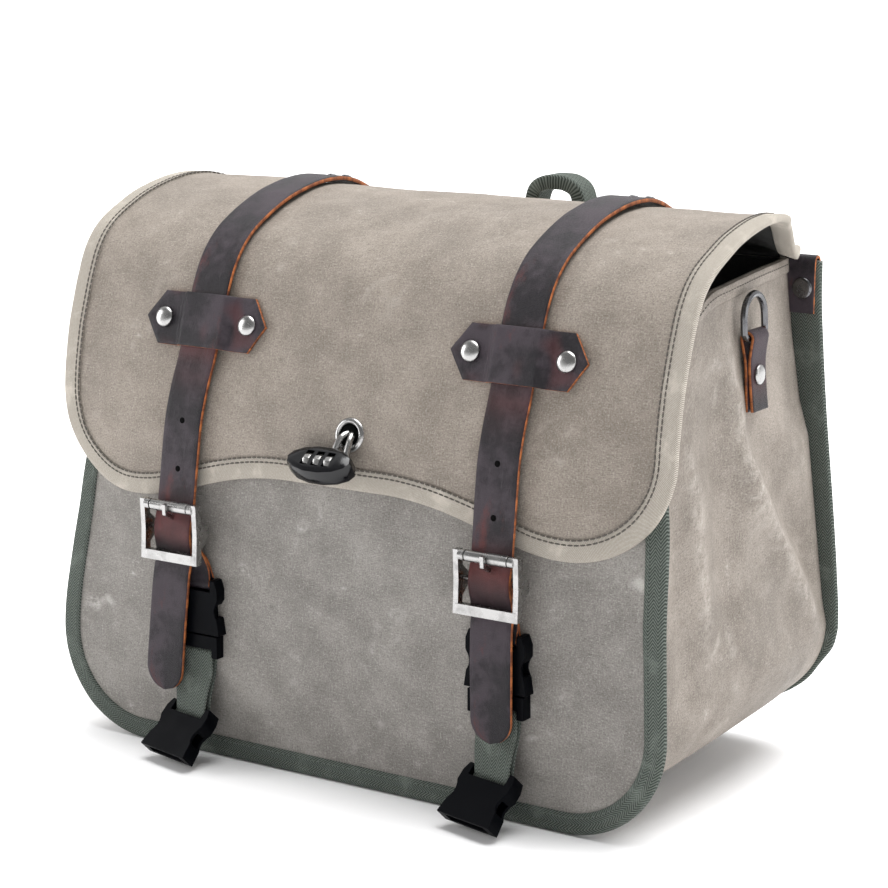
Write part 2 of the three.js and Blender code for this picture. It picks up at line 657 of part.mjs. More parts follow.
function addStrap(side) {
  place(`strap_${side.name}`, strap(side), LEATHER);
  const keeperPlace = groupAt(side.topX, KEEPER.y, KEEPER.z);
  keeperPlace.rotation.x = -KEEPER.lean;
  place(`keeper_${side.name}`, keeper(), LEATHER, keeperPlace);
  for (const [end, sign] of [["outer", side.sign], ["inner", -side.sign]]) {
    const head = groupAt(sign * KEEPER_RIVET_X, -KEEPER.leather - 2 * GAP, 0, keeperPlace);
    place(`keeper_rivet_${side.name}_${end}`, rivetHead(5.75, 3), NICKEL, head);
  }
  for (const [end, sign] of [["outer", side.sign], ["inner", -side.sign]]) {
    const head = groupAt(side.topX + sign * 5, 38, 313.1);
    head.rotation.x = -Math.PI / 2 - Math.atan2(8, 23);
    place(`strap_rivet_${side.name}_${end}`, rivetHead(3, 1.8), GUNMETAL, head);
  }
  const buckle = groupAt(side.sign * STRAP_X, BUCKLE.y, BUCKLE.z);
  place(`roller_buckle_${side.name}`, rollerBuckle(), NICKEL, buckle);
  place(`roller_${side.name}`, roller(), NICKEL, groupAt(0, 0, BUCKLE.rollerZ, buckle));
  place(`prong_${side.name}`, prong(), NICKEL, groupAt(0, BUCKLE.tongueY, 0, buckle));
}

// The chain that hangs behind a strap's tail, from the buckle's middle bar to the floor.
const CHAIN = { topY: BUCKLE.y + BUCKLE.tongueY, y: -106, socketZ: 101, plugZ: 61, lowY: -111, lowZ: 25.8 };
const LOW_YAW = THREE.MathUtils.degToRad(-13);
const LOW_TILT = THREE.MathUtils.degToRad(-45);

// The leather tab is folded round the buckle's middle bar and the socket's bar, which hangs a little to one side.
function buckleTab(shift) {
  const upper = [CHAIN.topY, BUCKLE.z];
  const lower = [CHAIN.y, CHAIN.socketZ];
  const leatherHalf = 2;
  const slope = shift / (CHAIN.socketZ - BUCKLE.z);
  const lean = new THREE.Matrix4().makeShear(0, 0, 0, 0, slope, 0);
  const straight = foldedBand(upper, lower, leatherHalf, STRAP_WIDTH - 2);
  const geometry = geometryOf(straight).translate(0, 0, -BUCKLE.z).applyMatrix4(lean).translate(0, 0, BUCKLE.z);
  return solidOf(geometry).subtract(box(4, 12, 12, 0, CHAIN.topY, BUCKLE.z + 1));
}

// The webbing twists below its middle, because the lowest socket lies askew.
function linkWeb() {
  const webHalf = 1.3;
  const upper = [CHAIN.y, CHAIN.plugZ];
  const lower = [CHAIN.lowY, CHAIN.lowZ];
  const straight = foldedBand(upper, lower, webHalf, STRAP_WIDTH);
  const turned = geometryOf(straight).translate(0, -CHAIN.lowY, 0).rotateZ(LOW_YAW).translate(0, CHAIN.lowY, 0);
  const middleZ = (CHAIN.plugZ + CHAIN.lowZ) / 2;
  const above = box(ALL, ALL, ALL, 0, 0, middleZ + ALL / 2 - 1);
  const below = box(ALL, ALL, ALL, 0, 0, middleZ - ALL / 2 + 1);
  return straight.intersect(above).add(solidOf(turned).intersect(below));
}

function addChain(side) {
  const x = side.sign * STRAP_X;
  place(`buckle_tab_${side.name}`, buckleTab(side.hangX - x), LEATHER, groupAt(x, 0, 0));
  const hang = groupAt(side.hangX, 0, 0);
  place(`tab_socket_${side.name}`, releaseSocket(), PLASTIC, groupAt(0, CHAIN.y, CHAIN.socketZ, hang));
  place(`link_plug_${side.name}`, releasePlug(), PLASTIC, groupAt(0, CHAIN.y, CHAIN.plugZ, hang));
  place(`link_web_${side.name}`, linkWeb(), GREEN_WEB, hang);
  const low = groupAt(0, CHAIN.lowY, CHAIN.lowZ, hang);
  low.rotation.set(LOW_TILT, 0, LOW_YAW, "ZXY");
  place(`lower_socket_${side.name}`, releaseSocket(), PLASTIC, low);
}

// Straps for the rack: each hangs from the back panel and carries a plug that fits a lowest socket.
const RACK = { x: 103.4, y: 108, topZ: 62, plugZ: 34 };
function rackStrap() {
  const sewn = HALF_DEPTH + GAP;
  const patch = box(STRAP_WIDTH, 3, 24, 0, sewn + 1.5, RACK.topZ + 9);
  const half = 1.3;
  const run = sheet([[RACK.y, RACK.plugZ], [sewn + 1.6, RACK.topZ]], -half, half, 0, STRAP_WIDTH);
  const eye = barX(EYE_OUTER, STRAP_WIDTH, 0, RACK.y, RACK.plugZ);
  return joined([patch, run, eye]).subtract(barX(EYE_HOLE, ALL, 0, RACK.y, RACK.plugZ));
}

function addRackStrap({ name, sign }) {
  const hang = groupAt(sign * RACK.x, 0, 0);
  place(`rack_strap_${name}`, rackStrap(), GREEN_WEB, hang);
  const plug = groupAt(0, RACK.y, RACK.plugZ, hang);
  plug.rotation.y = Math.PI;
  place(`rack_plug_${name}`, releasePlug(), PLASTIC, plug);
}

// The padlock lies face up below the eyelet, its shackle's bow in the hole.
function addPadlock() {
  const lock = groupAt(EYELET.x, EYELET.y, EYELET.z);
  place("padlock_shackle", padlockShackle(SHACKLE_WIRE), NICKEL, lock);
  place("padlock_body", padlockBody(), LOCK_BLACK, lock);
  const face = groupAt(LOCK.x, LOCK.y, LOCK.z);
  face.rotation.x = LOCK.tilt;
  for (const [i, name] of ["left", "middle", "right"].entries()) {
    const dial = groupAt((i - 1) * DIAL.pitch, DIAL.y, 0, face);
    place(`padlock_dial_${name}`, lockDial(), NICKEL, dial);
  }
}

addBody();
SIDES.forEach(addSideTrim);
addFlap();
SIDES.forEach(addStrap);
SIDES.forEach(addChain);
SIDES.forEach(addRackStrap);
addPadlock();

// The origin is the middle of the bag's footprint.
const bounds = new THREE.Box3().setFromObject(bag);
bag.position.y = -(bounds.min.y + bounds.max.y) / 2;

export default bag;
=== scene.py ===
"""The looks of a canvas pannier bag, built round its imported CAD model.

Shapes are drawn in millimetres with y counted from the middle between the two panels; placed() turns them
into the frame's metres. +X is the bag's right, +Y its back, +Z up.
"""

import json
import math

import bmesh
import bpy
import numpy as np
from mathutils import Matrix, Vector, noise

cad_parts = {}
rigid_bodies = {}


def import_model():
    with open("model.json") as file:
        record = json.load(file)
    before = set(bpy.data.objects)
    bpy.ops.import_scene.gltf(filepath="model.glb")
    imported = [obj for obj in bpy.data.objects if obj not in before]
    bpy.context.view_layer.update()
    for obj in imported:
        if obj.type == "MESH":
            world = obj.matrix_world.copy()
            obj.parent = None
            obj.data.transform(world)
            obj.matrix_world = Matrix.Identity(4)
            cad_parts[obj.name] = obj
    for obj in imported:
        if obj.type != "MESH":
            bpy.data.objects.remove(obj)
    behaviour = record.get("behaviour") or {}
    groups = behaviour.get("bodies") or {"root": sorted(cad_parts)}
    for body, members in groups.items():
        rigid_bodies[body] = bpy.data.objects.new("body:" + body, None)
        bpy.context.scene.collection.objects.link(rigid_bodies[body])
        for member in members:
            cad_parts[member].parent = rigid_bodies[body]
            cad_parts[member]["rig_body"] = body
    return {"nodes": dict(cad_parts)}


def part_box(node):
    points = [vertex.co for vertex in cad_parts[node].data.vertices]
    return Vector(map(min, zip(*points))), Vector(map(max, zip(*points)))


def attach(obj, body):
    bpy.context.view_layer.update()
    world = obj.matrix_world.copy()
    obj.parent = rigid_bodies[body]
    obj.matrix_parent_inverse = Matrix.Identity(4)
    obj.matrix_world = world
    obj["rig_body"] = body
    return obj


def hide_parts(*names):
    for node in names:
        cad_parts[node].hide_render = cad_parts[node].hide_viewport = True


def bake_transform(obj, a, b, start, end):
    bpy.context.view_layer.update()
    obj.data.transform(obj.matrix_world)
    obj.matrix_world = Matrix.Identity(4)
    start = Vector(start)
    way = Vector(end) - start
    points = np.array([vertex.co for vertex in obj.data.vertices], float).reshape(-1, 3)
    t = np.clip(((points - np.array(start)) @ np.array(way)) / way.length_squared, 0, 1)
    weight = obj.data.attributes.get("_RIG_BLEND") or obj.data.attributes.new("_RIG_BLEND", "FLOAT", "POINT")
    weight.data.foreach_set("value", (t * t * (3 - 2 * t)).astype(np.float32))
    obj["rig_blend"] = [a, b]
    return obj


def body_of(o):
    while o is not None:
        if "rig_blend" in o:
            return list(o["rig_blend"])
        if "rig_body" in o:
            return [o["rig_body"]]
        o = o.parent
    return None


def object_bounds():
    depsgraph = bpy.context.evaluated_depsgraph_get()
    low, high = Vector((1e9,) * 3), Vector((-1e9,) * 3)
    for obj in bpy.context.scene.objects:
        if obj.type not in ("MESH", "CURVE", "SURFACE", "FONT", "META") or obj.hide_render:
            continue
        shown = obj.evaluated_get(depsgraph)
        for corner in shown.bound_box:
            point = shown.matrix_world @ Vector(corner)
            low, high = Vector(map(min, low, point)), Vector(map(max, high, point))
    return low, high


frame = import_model()
CAD_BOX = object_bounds()
MM = 0.001

# ---------------------------------------------------------------- sizes

HALF_DEPTH = 100.0  # from the middle to the outer face of the front or the back panel
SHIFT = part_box("back_panel")[1][1] / MM - HALF_DEPTH  # the frame's y of the middle between the panels
HALF_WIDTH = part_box("front_binding")[1][0] / MM
CLOTH = 2.6  # canvas with its lining
CORNER = 58.0  # radius of the panels' lower corners
BINDING = 11.5  # width of the edge binding
FLANGE = 21.0  # how far the back panel's tape reaches in to meet the gusset
STRAP_WIDTH = 25.0
STRAP_THICK = 2.8
SIDES = {"left": -1, "right": 1}


def centre_of(node):
    """The middle of a CAD node's box, in the drawing's millimetres."""
    low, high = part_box(node)
    x, y, z = (low + high) / 2 / MM
    return np.array([x, y - SHIFT, z])


BUCKLE = {name: centre_of(f"roller_buckle_{name}") for name in SIDES}
STRAP_TOP_X = {name: centre_of(f"keeper_{name}")[0] for name in SIDES}
HINGE_Y = 73.5
FOLD_REACH = 12.0  # how far the flap's fold runs each way from its hinge
FOLD_Z = 290.0

# Side views (y, z) of the outer faces: the front from the bottom up, the back from the top down.
FRONT_VIEW = [(-100, 0), (-100, 60), (-100, 120), (-100, 165), (-97, 190), (-80, 236)]
BACK_VIEW = [(100, 278), (100, 190), (100, 95), (100, 0)]
# The flap from its front edge up and over, and the top edge of the sides.
FLAP_VIEW = [
    (-106, 138), (-106, 165), (-105.4, 186), (-101, 206), (-92.5, 229), (-81.5, 262), (-72, 279), (-59, 291),
    (-41, 300), (-23, 306.5), (4, 311.5), (29, 311), (52, 303), (73, 291), (92, 286.5), (102, 281),
    (104.6, 268), (104.6, 252),
]
HEM_VIEW = [(-80, 234), (-62, 256), (-30, 273), (0, 277), (50, 279), (98, 279)]


def placed(points):
    """Drawing points in millimetres as frame points in metres."""
    array = np.array(points, dtype=float)
    array[..., 1] += SHIFT
    return array * MM


# ---------------------------------------------------------------- small maths


def smooth(low, high, value):
    """0 below low, 1 above high, and an S-curve between."""
    t = np.clip((np.asarray(value, float) - low) / (high - low), 0.0, 1.0)
    return t * t * (3 - 2 * t)


def bell(value, centre, width):
    return np.exp(-(((np.asarray(value, float) - centre) / width) ** 2))


def ripple(a, b, scale, seed):
    """Smooth noise between -1 and 1 over two flat coordinates."""
    a, b = np.broadcast_arrays(np.asarray(a, float), np.asarray(b, float))
    flat = [noise.noise(Vector((p / scale, q / scale, seed))) for p, q in zip(a.ravel(), b.ravel())]
    return np.array(flat).reshape(a.shape)


def crease(a, b, start, end, width):
    """A long soft fold: 1 on the line from start to end, falling to 0 beside it and past its ends."""
    start, end = np.asarray(start, float), np.asarray(end, float)
    along = (end - start) / np.linalg.norm(end - start)
    da, db = a - start[0], b - start[1]
    run = (da * along[0] + db * along[1]) / np.linalg.norm(end - start)
    off = -da * along[1] + db * along[0]
    return np.exp(-((off / width) ** 2)) * smooth(-0.15, 0.25, run) * (1 - smooth(0.75, 1.15, run))


def resample(path, count):
    """count points evenly spaced along a polyline."""
    path = np.asarray(path, float)
    length = length_along(path)
    wanted = np.linspace(0, length[-1], count)
    return np.stack([np.interp(wanted, length, path[:, k]) for k in range(path.shape[1])], axis=1)


STEPS_PER_SPAN = 16


def spline(points, count, closed=False):
    """A smooth curve through points, as count points evenly spaced along it."""
    points = np.asarray(points, float)
    if closed:
        padded = np.vstack([points[-1], points, points[:2]])
    else:
        padded = np.vstack([2 * points[0] - points[1], points, 2 * points[-1] - points[-2]])
    steps = np.linspace(0, 1, STEPS_PER_SPAN, endpoint=False)[:, None]
    dense = []
    for p0, p1, p2, p3 in zip(padded, padded[1:], padded[2:], padded[3:]):
        cubic = (3 * p1 - p0 - 3 * p2 + p3) * steps**3
        square = (2 * p0 - 5 * p1 + 4 * p2 - p3) * steps**2
        dense.append(0.5 * (2 * p1 + (p2 - p0) * steps + square + cubic))
    dense.append(padded[-2][None])
    return resample(np.vstack(dense), count)


def length_along(path):
    """The distance from a path's start to each of its points."""
    steps = np.linalg.norm(np.diff(np.asarray(path, float), axis=0), axis=1)
    return np.concatenate([[0], np.cumsum(steps)])


def unit(vectors):
    vectors = np.asarray(vectors, float)
    return vectors / np.linalg.norm(vectors, axis=-1, keepdims=True)


def arc(cx, cy, radius, start, end, count):
    """Points of an arc, its start and end in degrees."""
    angles = np.radians(np.linspace(start, end, count))
    return np.stack([cx + radius * np.cos(angles), cy + radius * np.sin(angles)], axis=1)


def bezier(p0, p1, p2, p3, count):
    t = np.linspace(0, 1, count)[:, None]
    p0, p1, p2, p3 = (np.asarray(p, float) for p in (p0, p1, p2, p3))
    return (1 - t) ** 3 * p0 + 3 * t * (1 - t) ** 2 * p1 + 3 * t**2 * (1 - t) * p2 + t**3 * p3


# ---------------------------------------------------------------- node materials


class Shader:
    """A material or world under construction: most calls add one node and return the output it makes."""

    def __init__(self, name, kind="materials", main="Principled BSDF"):
        self.owner = getattr(bpy.data, kind).new(name)
        self.owner.use_nodes = True
        self.tree = self.owner.node_tree
        self.main = self.tree.nodes[main]

    def feed(self, socket, value):
        if isinstance(value, bpy.types.NodeSocket):
            self.tree.links.new(value, socket)
        elif hasattr(value, "__len__") and len(value) == 3 and socket.type == "RGBA":
            socket.default_value = (*value, 1)
        else:
            socket.default_value = value

    def add(self, kind, inputs, **settings):
        """Adds a node, sets it up, feeds its inputs and returns its outputs."""
        node = self.tree.nodes.new(f"ShaderNode{kind}")
        for key, value in settings.items():
            setattr(node, key, value)
        for key, value in inputs.items():
            self.feed(node.inputs[key], value)
        return node.outputs

    def coords(self, kind="UV"):
        return self.add("TexCoord", {})[kind]

    def noise(self, vector, scale, detail=4.0, roughness=0.55):
        inputs = {"Vector": vector, "Scale": scale, "Detail": detail, "Roughness": roughness}
        return self.add("TexNoise", inputs)["Fac"]

    def streaks(self, vector, scales, detail, roughness):
        """Noise with a scale of its own along each axis."""
        stretched = self.add("Mapping", {"Vector": vector, "Scale": scales})[0]
        return self.noise(stretched, 1.0, detail, roughness)

    def bands(self, vector, scale, direction, distortion):
        inputs = {"Vector": vector, "Scale": scale, "Distortion": distortion}
        return self.add("TexWave", inputs, bands_direction=direction)["Fac"]

    def cells(self, vector, scale):
        inputs = {"Vector": vector, "Scale": scale}
        return self.add("TexVoronoi", inputs, feature="DISTANCE_TO_EDGE")["Distance"]

    def remap(self, value, low, high, to_low=0.0, to_high=1.0):
        inputs = {"Value": value, "From Min": low, "From Max": high, "To Min": to_low, "To Max": to_high}
        return self.add("MapRange", inputs, interpolation_type="SMOOTHSTEP")["Result"]

    def math(self, operation, a, b):
        return self.add("Math", {0: a, 1: b}, operation=operation)[0]

    def weighted(self, a, a_weight, b, b_weight):
        """The sum of two values, each times its weight."""
        return self.math("ADD", self.math("MULTIPLY", a, a_weight), self.math("MULTIPLY", b, b_weight))

    def mix(self, factor, a, b):
        node = self.tree.nodes.new("ShaderNodeMix")
        node.data_type = "RGBA"
        self.feed(node.inputs["Factor"], factor)
        for socket, value in zip([s for s in node.inputs if s.type == "RGBA"], (a, b)):
            self.feed(socket, value)
        return [s for s in node.outputs if s.type == "RGBA"][0]

    def split(self, vector):
        return self.add("SeparateXYZ", {0: vector})

    def attribute(self, name):
        return self.add("Attribute", {}, attribute_name=name)["Fac"]

    def bump(self, height, distance, strength, under=None):
        inputs = {"Height": height, "Distance": distance, "Strength": strength}
        if under is not None:
            inputs["Normal"] = under
        return self.add("Bump", inputs)[0]

    def finish(self, **inputs):
        for key, value in inputs.items():
            self.feed(self.main.inputs[key.replace("_", " ")], value)
        return self.owner


def scaled(colour, factor, lift=0.0):
    """A colour made darker or lighter, never past white."""
    return tuple(min(1, factor * c + lift) for c in colour)


def canvas_look(name, dark, light, chalk, chalk_amount=0.5):
    """Waxed canvas: a fine plain weave, cloudy wax, pale rubbed scratches and a grain of pale threads."""
    s = Shader(name)
    uv = s.coords()
    clouds = s.noise(uv, 11, 6, 0.62)
    blotches = s.noise(uv, 42, 5, 0.62)
    weave = s.math("MULTIPLY", s.bands(uv, 390, "X", 0.6), s.bands(uv, 330, "Y", 0.6))
    specks = s.noise(uv, 1100, 2, 0.7)
    threads = s.math("MAXIMUM", s.streaks(uv, (240, 900, 1), 3, 0.7), s.streaks(uv, (900, 240, 1), 3, 0.7))
    cloth = s.mix(s.remap(s.weighted(clouds, 0.55, blotches, 0.45), 0.36, 0.66), dark, light)
    grain = s.weighted(specks, 0.55, threads, 0.45)
    cloth = s.mix(s.remap(grain, 0.5, 0.72, 0.0, 0.5), cloth, chalk)
    cloth = s.mix(s.remap(grain, 0.52, 0.38, 0.0, 0.5), cloth, scaled(dark, 0.45))
    rub = s.streaks(uv, (46, 70, 1), 8, 0.76)
    scratch = s.math("MULTIPLY", s.remap(rub, 0.58, 0.7), s.remap(blotches, 0.46, 0.6))
    # The worn attribute pales the cloth with rubbed wax; on the sides' fold crests it is partly painted
    # highlight.
    worn = s.math("MULTIPLY", s.attribute("worn"), s.remap(s.noise(uv, 120, 6, 0.78), 0.4, 0.62))
    cloth = s.mix(s.math("MAXIMUM", s.math("MULTIPLY", scratch, chalk_amount), worn), cloth, chalk)
    height = s.weighted(weave, 0.5, specks, 0.9)
    normal = s.bump(height, 0.00028, 0.75, s.bump(blotches, 0.0024, 0.55))
    roughness = s.remap(clouds, 0.35, 0.65, 0.6, 0.8)
    return s.finish(Base_Color=cloth, Roughness=roughness, Normal=normal, Specular_IOR_Level=0.3)


HERRINGBONE = 0.00285  # metres across the tape between the turns of its ribs
RIB_SLANT = 1.3


def webbing_look(name, dark, light, ribs=170, slant=True):
    """Woven tape: ribs, slanting to and fro where slant is set, and flecks of paler thread."""
    s = Shader(name)
    uv = s.coords()
    along, across, _ = s.split(uv)
    turned = s.math("PINGPONG", across, HERRINGBONE) if slant else across
    woven = s.add("CombineXYZ", {0: s.weighted(along, 1.0, turned, RIB_SLANT), 1: across})[0]
    rib = s.bands(woven, ribs, "X", 0.4)
    flecks = s.noise(uv, 900, 3, 0.7)
    wear = s.noise(uv, 60, 4, 0.6)
    colour = s.mix(s.remap(s.weighted(rib, 0.55, flecks, 0.5), 0.3, 0.85), dark, light)
    colour = s.mix(s.remap(wear, 0.5, 0.75, 0.0, 0.35), colour, scaled(light, 1.5))
    normal = s.bump(s.weighted(rib, 1.0, flecks, 0.6), 0.0003, 0.8)
    return s.finish(Base_Color=colour, Roughness=0.86, Normal=normal, Specular_IOR_Level=0.2)


def leather_look(name, dark, light, red, gloss):
    """Oiled pull-up leather: near black, redder where bent or rubbed, with pores and fine scratches."""
    s = Shader(name)
    uv = s.coords()
    clouds = s.noise(uv, 28, 6, 0.65)
    patches = s.streaks(uv, (14, 34, 1), 6, 0.68)
    pores = s.remap(s.cells(uv, 1500), 0.0, 0.2)
    scratch = s.streaks(uv, (60, 900, 1), 4, 0.7)
    colour = s.mix(s.remap(clouds, 0.42, 0.60), dark, light)
    reddish = s.math("MAXIMUM", s.remap(patches, 0.57, 0.72, 0.0, 0.8), s.attribute("worn"))
    colour = s.mix(s.math("MULTIPLY", reddish, s.remap(clouds, 0.3, 0.6, 0.45, 1.0)), colour, red)
    colour = s.mix(s.remap(scratch, 0.6, 0.74, 0.0, 0.3), colour, scaled(light, 1.8, 0.02))
    height = s.weighted(pores, 1.0, s.noise(uv, 320, 4, 0.7), 0.9)
    normal = s.bump(height, 0.00016, 0.7, s.bump(clouds, 0.0016, 0.5))
    roughness = s.remap(clouds, 0.3, 0.7, gloss - 0.06, gloss + 0.16)
    return s.finish(Base_Color=colour, Roughness=roughness, Normal=normal, Specular_IOR_Level=0.24)


def raw_edge_look(name):
    """The cut edge of the leather: orange fibres, darker where the dye ran over."""
    s = Shader(name)
    uv = s.coords()
    fibre = s.streaks(uv, (160, 1400, 1), 4, 0.7)
    stain = s.noise(uv, 90, 4, 0.6)
    colour = s.mix(s.remap(fibre, 0.35, 0.65), (0.13, 0.032, 0.008), (0.44, 0.135, 0.034))
    colour = s.mix(s.remap(stain, 0.56, 0.72, 0.0, 0.8), colour, (0.075, 0.018, 0.008))
    return s.finish(Base_Color=colour, Roughness=0.7, Normal=s.bump(fibre, 0.0003, 0.8))


SMEAR_ROUGHNESS = 0.14  # how much rougher smeared metal or dusty plastic is


def metal_look(name, colour, roughness, tarnish):
    """Plated metal with faint smears and fine random scratches."""
    s = Shader(name)
    place = s.coords("Object")
    smears = s.noise(place, 130, 5, 0.65)
    scratch = s.streaks(place, (300, 2600, 900), 4, 0.7)
    shade = s.mix(s.remap(smears, 0.48, 0.75, 0.0, 0.6), colour, tarnish)
    smeared = s.remap(smears, 0.35, 0.7, roughness, roughness + SMEAR_ROUGHNESS)
    rough = s.math("ADD", smeared, s.remap(scratch, 0.5, 0.8, 0.0, 0.08))
    return s.finish(Base_Color=shade, Metallic=1.0, Roughness=rough, Normal=s.bump(scratch, 0.00003, 0.4))


def moulded_look(name, colour, roughness, pale, shine=0.3):
    """Moulded or painted black parts, and black discs of painted shade in holes: a fine matt grain and pale
    dust.
    """
    s = Shader(name)
    place = s.coords("Object")
    grain = s.noise(place, 1700, 3, 0.6)
    dust = s.noise(place, 70, 5, 0.7)
    shade = s.mix(s.remap(dust, 0.5, 0.78, 0.0, 0.35), colour, pale)
    dusty = s.remap(dust, 0.35, 0.7, roughness, roughness + SMEAR_ROUGHNESS)
    normal = s.bump(grain, 0.00004, 0.5)
    return s.finish(Base_Color=shade, Roughness=dusty, Normal=normal, Specular_IOR_Level=shine)


def thread_look(name, dark, light):
    s = Shader(name)
    place = s.coords("Object")
    twist = s.noise(place, 1500, 3, 0.7)
    return s.finish(Base_Color=s.mix(twist, dark, light), Roughness=0.8, Normal=s.bump(twist, 0.0002, 0.7))


CANVAS = canvas_look("canvas", (0.185, 0.158, 0.132), (0.285, 0.248, 0.212), (0.50, 0.46, 0.41))
CANVAS_FRONT = canvas_look(
    "canvas_front", (0.165, 0.153, 0.140), (0.262, 0.247, 0.228), (0.50, 0.48, 0.45), chalk_amount=0.7)
CANVAS_SIDE = canvas_look("canvas_side", (0.185, 0.160, 0.136), (0.315, 0.278, 0.243), (0.53, 0.49, 0.445))
LINING = canvas_look(
    "lining", (0.02, 0.02, 0.02), (0.035, 0.034, 0.032), (0.06, 0.06, 0.058), chalk_amount=0.1)
GREEN = webbing_look("green_webbing", (0.034, 0.042, 0.036), (0.150, 0.170, 0.150))
BEIGE = webbing_look("beige_tape", (0.27, 0.243, 0.205), (0.56, 0.515, 0.455), 300, slant=False)
LEATHER = leather_look(
    "leather", (0.009, 0.007, 0.0095), (0.044, 0.034, 0.042), (0.115, 0.027, 0.024), gloss=0.42)
RAW_EDGE = raw_edge_look("raw_edge")
NICKEL = metal_look("nickel", (0.38, 0.375, 0.37), 0.2, (0.20, 0.195, 0.19))
GUNMETAL = metal_look("gunmetal", (0.13, 0.13, 0.135), 0.16, (0.05, 0.05, 0.055))
PLASTIC = moulded_look("black_plastic", (0.0015, 0.0018, 0.0028), 0.36, (0.004, 0.004, 0.005), 0.04)
LOCK_BLACK = moulded_look("lock_black", (0.003, 0.003, 0.004), 0.10, (0.006, 0.006, 0.007), 0.4)
# Near-black discs standing in holes: painted shade of the strap holes and of the eyelet's bore.
HOLE_SHADE_LOOK = moulded_look("painted_hole_shade", (0.002, 0.002, 0.002), 0.8, (0.006, 0.006, 0.006), 0.05)
BOARD = moulded_look("board", (0.03, 0.03, 0.03), 0.6, (0.06, 0.06, 0.06))
DARK_THREAD = thread_look("dark_thread", (0.05, 0.045, 0.038), (0.13, 0.115, 0.10))
GREEN_THREAD = thread_look("green_thread", (0.05, 0.062, 0.053), (0.16, 0.185, 0.165))

# The record's slots of the hard parts and the look of each.
HARD_LOOKS = {
    "nickel": NICKEL, "gunmetal": GUNMETAL, "black_plastic": PLASTIC, "lock_black": LOCK_BLACK,
    "board": BOARD,
}

# ---------------------------------------------------------------- meshes


def add_mesh(name, points, faces, materials, slots=None, uvs=None, worn=None):
    """A closed mesh object from frame points. slots gives each face's material; uvs and worn go by point."""
    mesh = bpy.data.meshes.new(name)
    mesh.from_pydata([tuple(p) for p in np.asarray(points)], [], [tuple(f) for f in faces])
    for look in materials:
        mesh.materials.append(look)
    if slots is not None:
        mesh.polygons.foreach_set("material_index", np.asarray(slots, dtype=np.int32))
    mesh.polygons.foreach_set("use_smooth", np.ones(len(mesh.polygons), dtype=bool))
    if uvs is not None:
        corners = np.zeros(len(mesh.loops), dtype=np.int32)
        mesh.loops.foreach_get("vertex_index", corners)
        layer = mesh.uv_layers.new(name="cloth")
        layer.data.foreach_set("uv", np.asarray(uvs, float)[corners].ravel())
    if worn is not None:
        marks = mesh.attributes.new("worn", "FLOAT", "POINT")
        marks.data.foreach_set("value", np.asarray(worn, np.float32))
    edit = bmesh.new()
    edit.from_mesh(mesh)
    bmesh.ops.recalc_face_normals(edit, faces=edit.faces)
    edit.to_mesh(mesh)
    edit.free()
    obj = bpy.data.objects.new(name, mesh)
    bpy.context.collection.objects.link(obj)
    return obj


def grid_faces(rows, cols, close_rows=False, close_cols=False):
    """Quads of a grid whose points run along each row in turn."""
    faces = []
    for i in range(rows if close_rows else rows - 1):
        for j in range(cols if close_cols else cols - 1):
            below = (i + 1) % rows
            beside = (j + 1) % cols
            faces.append((i * cols + j, i * cols + beside, below * cols + beside, below * cols + j))
    return faces


def sheet_mesh(name, outer, inner, uv, materials, worn=None):
    """A sheet of real thickness from two grids of points; materials are its face's, back's and edge's."""
    rows, cols = outer.shape[:2]
    count = rows * cols
    top = list(range(cols))
    right = [r * cols + cols - 1 for r in range(1, rows)]
    bottom = [(rows - 1) * cols + c for c in range(cols - 2, -1, -1)]
    left = [r * cols for r in range(rows - 2, 0, -1)]
    rim = top + right + bottom + left
    out_faces = grid_faces(rows, cols)
    in_faces = [tuple(count + i for i in reversed(f)) for f in out_faces]
    rim_faces = [(a, count + a, count + b, b) for a, b in zip(rim, rim[1:] + rim[:1])]
    faces = out_faces + in_faces + rim_faces
    slots = [0] * len(out_faces) + [1] * len(in_faces) + [2] * len(rim_faces)
    points = np.vstack([outer.reshape(-1, 3), inner.reshape(-1, 3)])
    uvs = np.tile(uv.reshape(-1, 2), (2, 1))
    marks = None if worn is None else np.tile(worn.ravel(), 2)
    return add_mesh(name, points, faces, materials, slots, uvs, marks)


def swept(name, rings, materials, side_slots, around, closed=False, worn=None):
    """A solid through rings of points; side_slots gives the material of each strip round the section."""
    stations, section = rings.shape[:2]
    faces = grid_faces(stations, section, close_rows=closed, close_cols=True)
    slots = [side_slots[k % section] for k in range(len(faces))]
    if not closed:
        faces.append(tuple(range(section)))
        faces.append(tuple((stations - 1) * section + k for k in reversed(range(section))))
        slots += [max(side_slots)] * 2
    along = length_along(rings.mean(axis=1))
    uvs = np.stack(np.broadcast_arrays(along[:, None], np.asarray(around)[None, :] * MM), axis=-1)
    marks = None if worn is None else np.repeat(worn, section)
    return add_mesh(name, rings.reshape(-1, 3), faces, materials, slots, uvs.reshape(-1, 2), marks)


FLAT_POINTS = 9  # points across each flat face of a band's section
MOST_ROUNDING, ROUNDING_SHARE = 0.9, 0.4  # of a band's corners: in millimetres, and of its thickness
EDGE_BULGE = 0.25  # how much of the rounding is left beside the middle of the edge
EDGE_SHARE = 0.72  # height of the raw edge's rims, as a share of half the thickness
RAW_EDGE_UV = 1.0  # millimetres by which the edge lies outside the face in the texture


